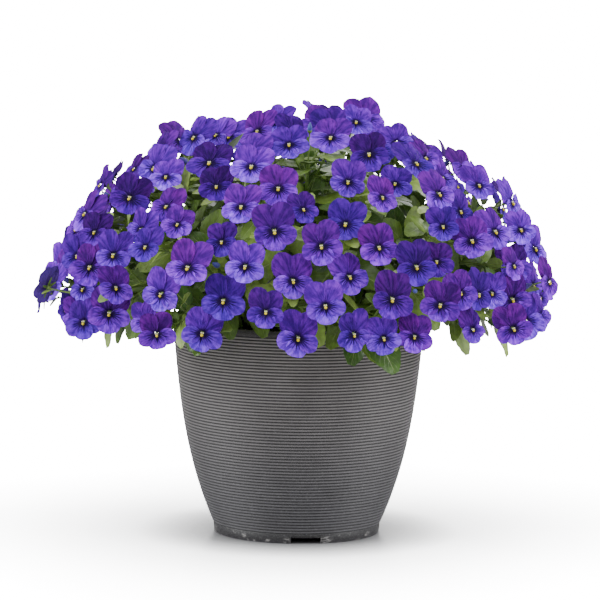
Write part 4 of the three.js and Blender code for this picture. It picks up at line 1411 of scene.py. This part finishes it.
# how far each of two painted shadows under the planter reaches, in metres, and how steeply it falls off
SHADES = ((0.42, 2.2), (0.08, 2.6))
floor_mesh = bpy.data.meshes.new("floor")
floor_corners = [(x * FLOOR_HALF, y * FLOOR_HALF, 0) for x, y in ((-1, -1), (1, -1), (1, 1), (-1, 1))]
floor_mesh.from_pydata(floor_corners, [], [(0, 1, 2, 3)])
floor = bpy.data.objects.new("floor", floor_mesh)
tree, shader = new_finish("floor", Roughness=0.35, Specular_IOR_Level=0.3)
seen = tree.nodes.new("ShaderNodeLightPath").outputs["Is Camera Ray"]
open_air = 1.0
for distance, power in SHADES:
    near = tree.nodes.new("ShaderNodeAmbientOcclusion")
    near.inputs["Distance"].default_value = distance
    open_air = times(tree, calc(tree, "POWER", near.outputs["AO"], power), open_air)
# painted shadow: the floor's colour, as the camera sees it, darkens where ambient occlusion finds the
# planter near
floor_with_painted_shadow = mix(tree, open_air, rgb(0.2, 0.2, 0.21), rgb(17.0, 17.0, 17.1))
plug(tree, shader.inputs["Base Color"], mix(tree, seen, rgb(0.42, 0.42, 0.43), floor_with_painted_shadow))
floor_mesh.materials.append(finishes["floor"])
bpy.context.scene.collection.objects.link(floor)
floor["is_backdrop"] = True

world = bpy.data.worlds.new("studio")
world.use_nodes = True
world.node_tree.nodes["Background"].inputs["Color"].default_value = rgb(1.0, 1.0, 1.0)
world.node_tree.nodes["Background"].inputs["Strength"].default_value = 0.68
bpy.context.scene.world = world

# %% Lamps
AIM = Vector((0, 0, 0.3))
# each lamp's strength, its place, and how wide it looks, in degrees
LAMPS = {"front": (0.9, (-0.8, -3.2, 2.6), 40), "left": (2.7, (-3.2, -0.7, 1.4), 35),
         "right": (2.6, (3.2, -0.7, 1.4), 35), "back": (1.3, (0.6, 3.2, 2.0), 40)}
for name, (strength, place_at, width) in LAMPS.items():
    light = bpy.data.lights.new(name, "SUN")
    light.energy, light.angle = strength, math.radians(width)
    lamp = bpy.data.objects.new(name, light)
    lamp.location = place_at
    lamp.rotation_euler = (AIM - Vector(place_at)).to_track_quat("-Z", "Y").to_euler()
    bpy.context.scene.collection.objects.link(lamp)
print("Lamps:", ", ".join(LAMPS))

# %% Camera
CAMERA_AT = (0.0011, -4.2356, 0.7414)
PITCH_DOWN = math.radians(6.8)
ROLL = math.radians(0.6)
camera_data = bpy.data.cameras.new("camera")
camera_data.sensor_width = 36
camera_data.lens = 252
camera_data.clip_end = 200
camera = bpy.data.objects.new("camera", camera_data)
tilt, roll = Matrix.Rotation(math.pi / 2 - PITCH_DOWN, 4, "X"), Matrix.Rotation(ROLL, 4, "Z")
camera.matrix_world = Matrix.Translation(CAMERA_AT) @ tilt @ roll
bpy.context.scene.collection.objects.link(camera)
bpy.context.scene.camera = camera

# %% Size and finish
visual_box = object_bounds()
over = [[round((a - b) / MM, 1) for a, b in zip(new, old)] for new, old in zip(visual_box, cad_box)]
print("The visual model differs from the solids' box by, in mm:", over)
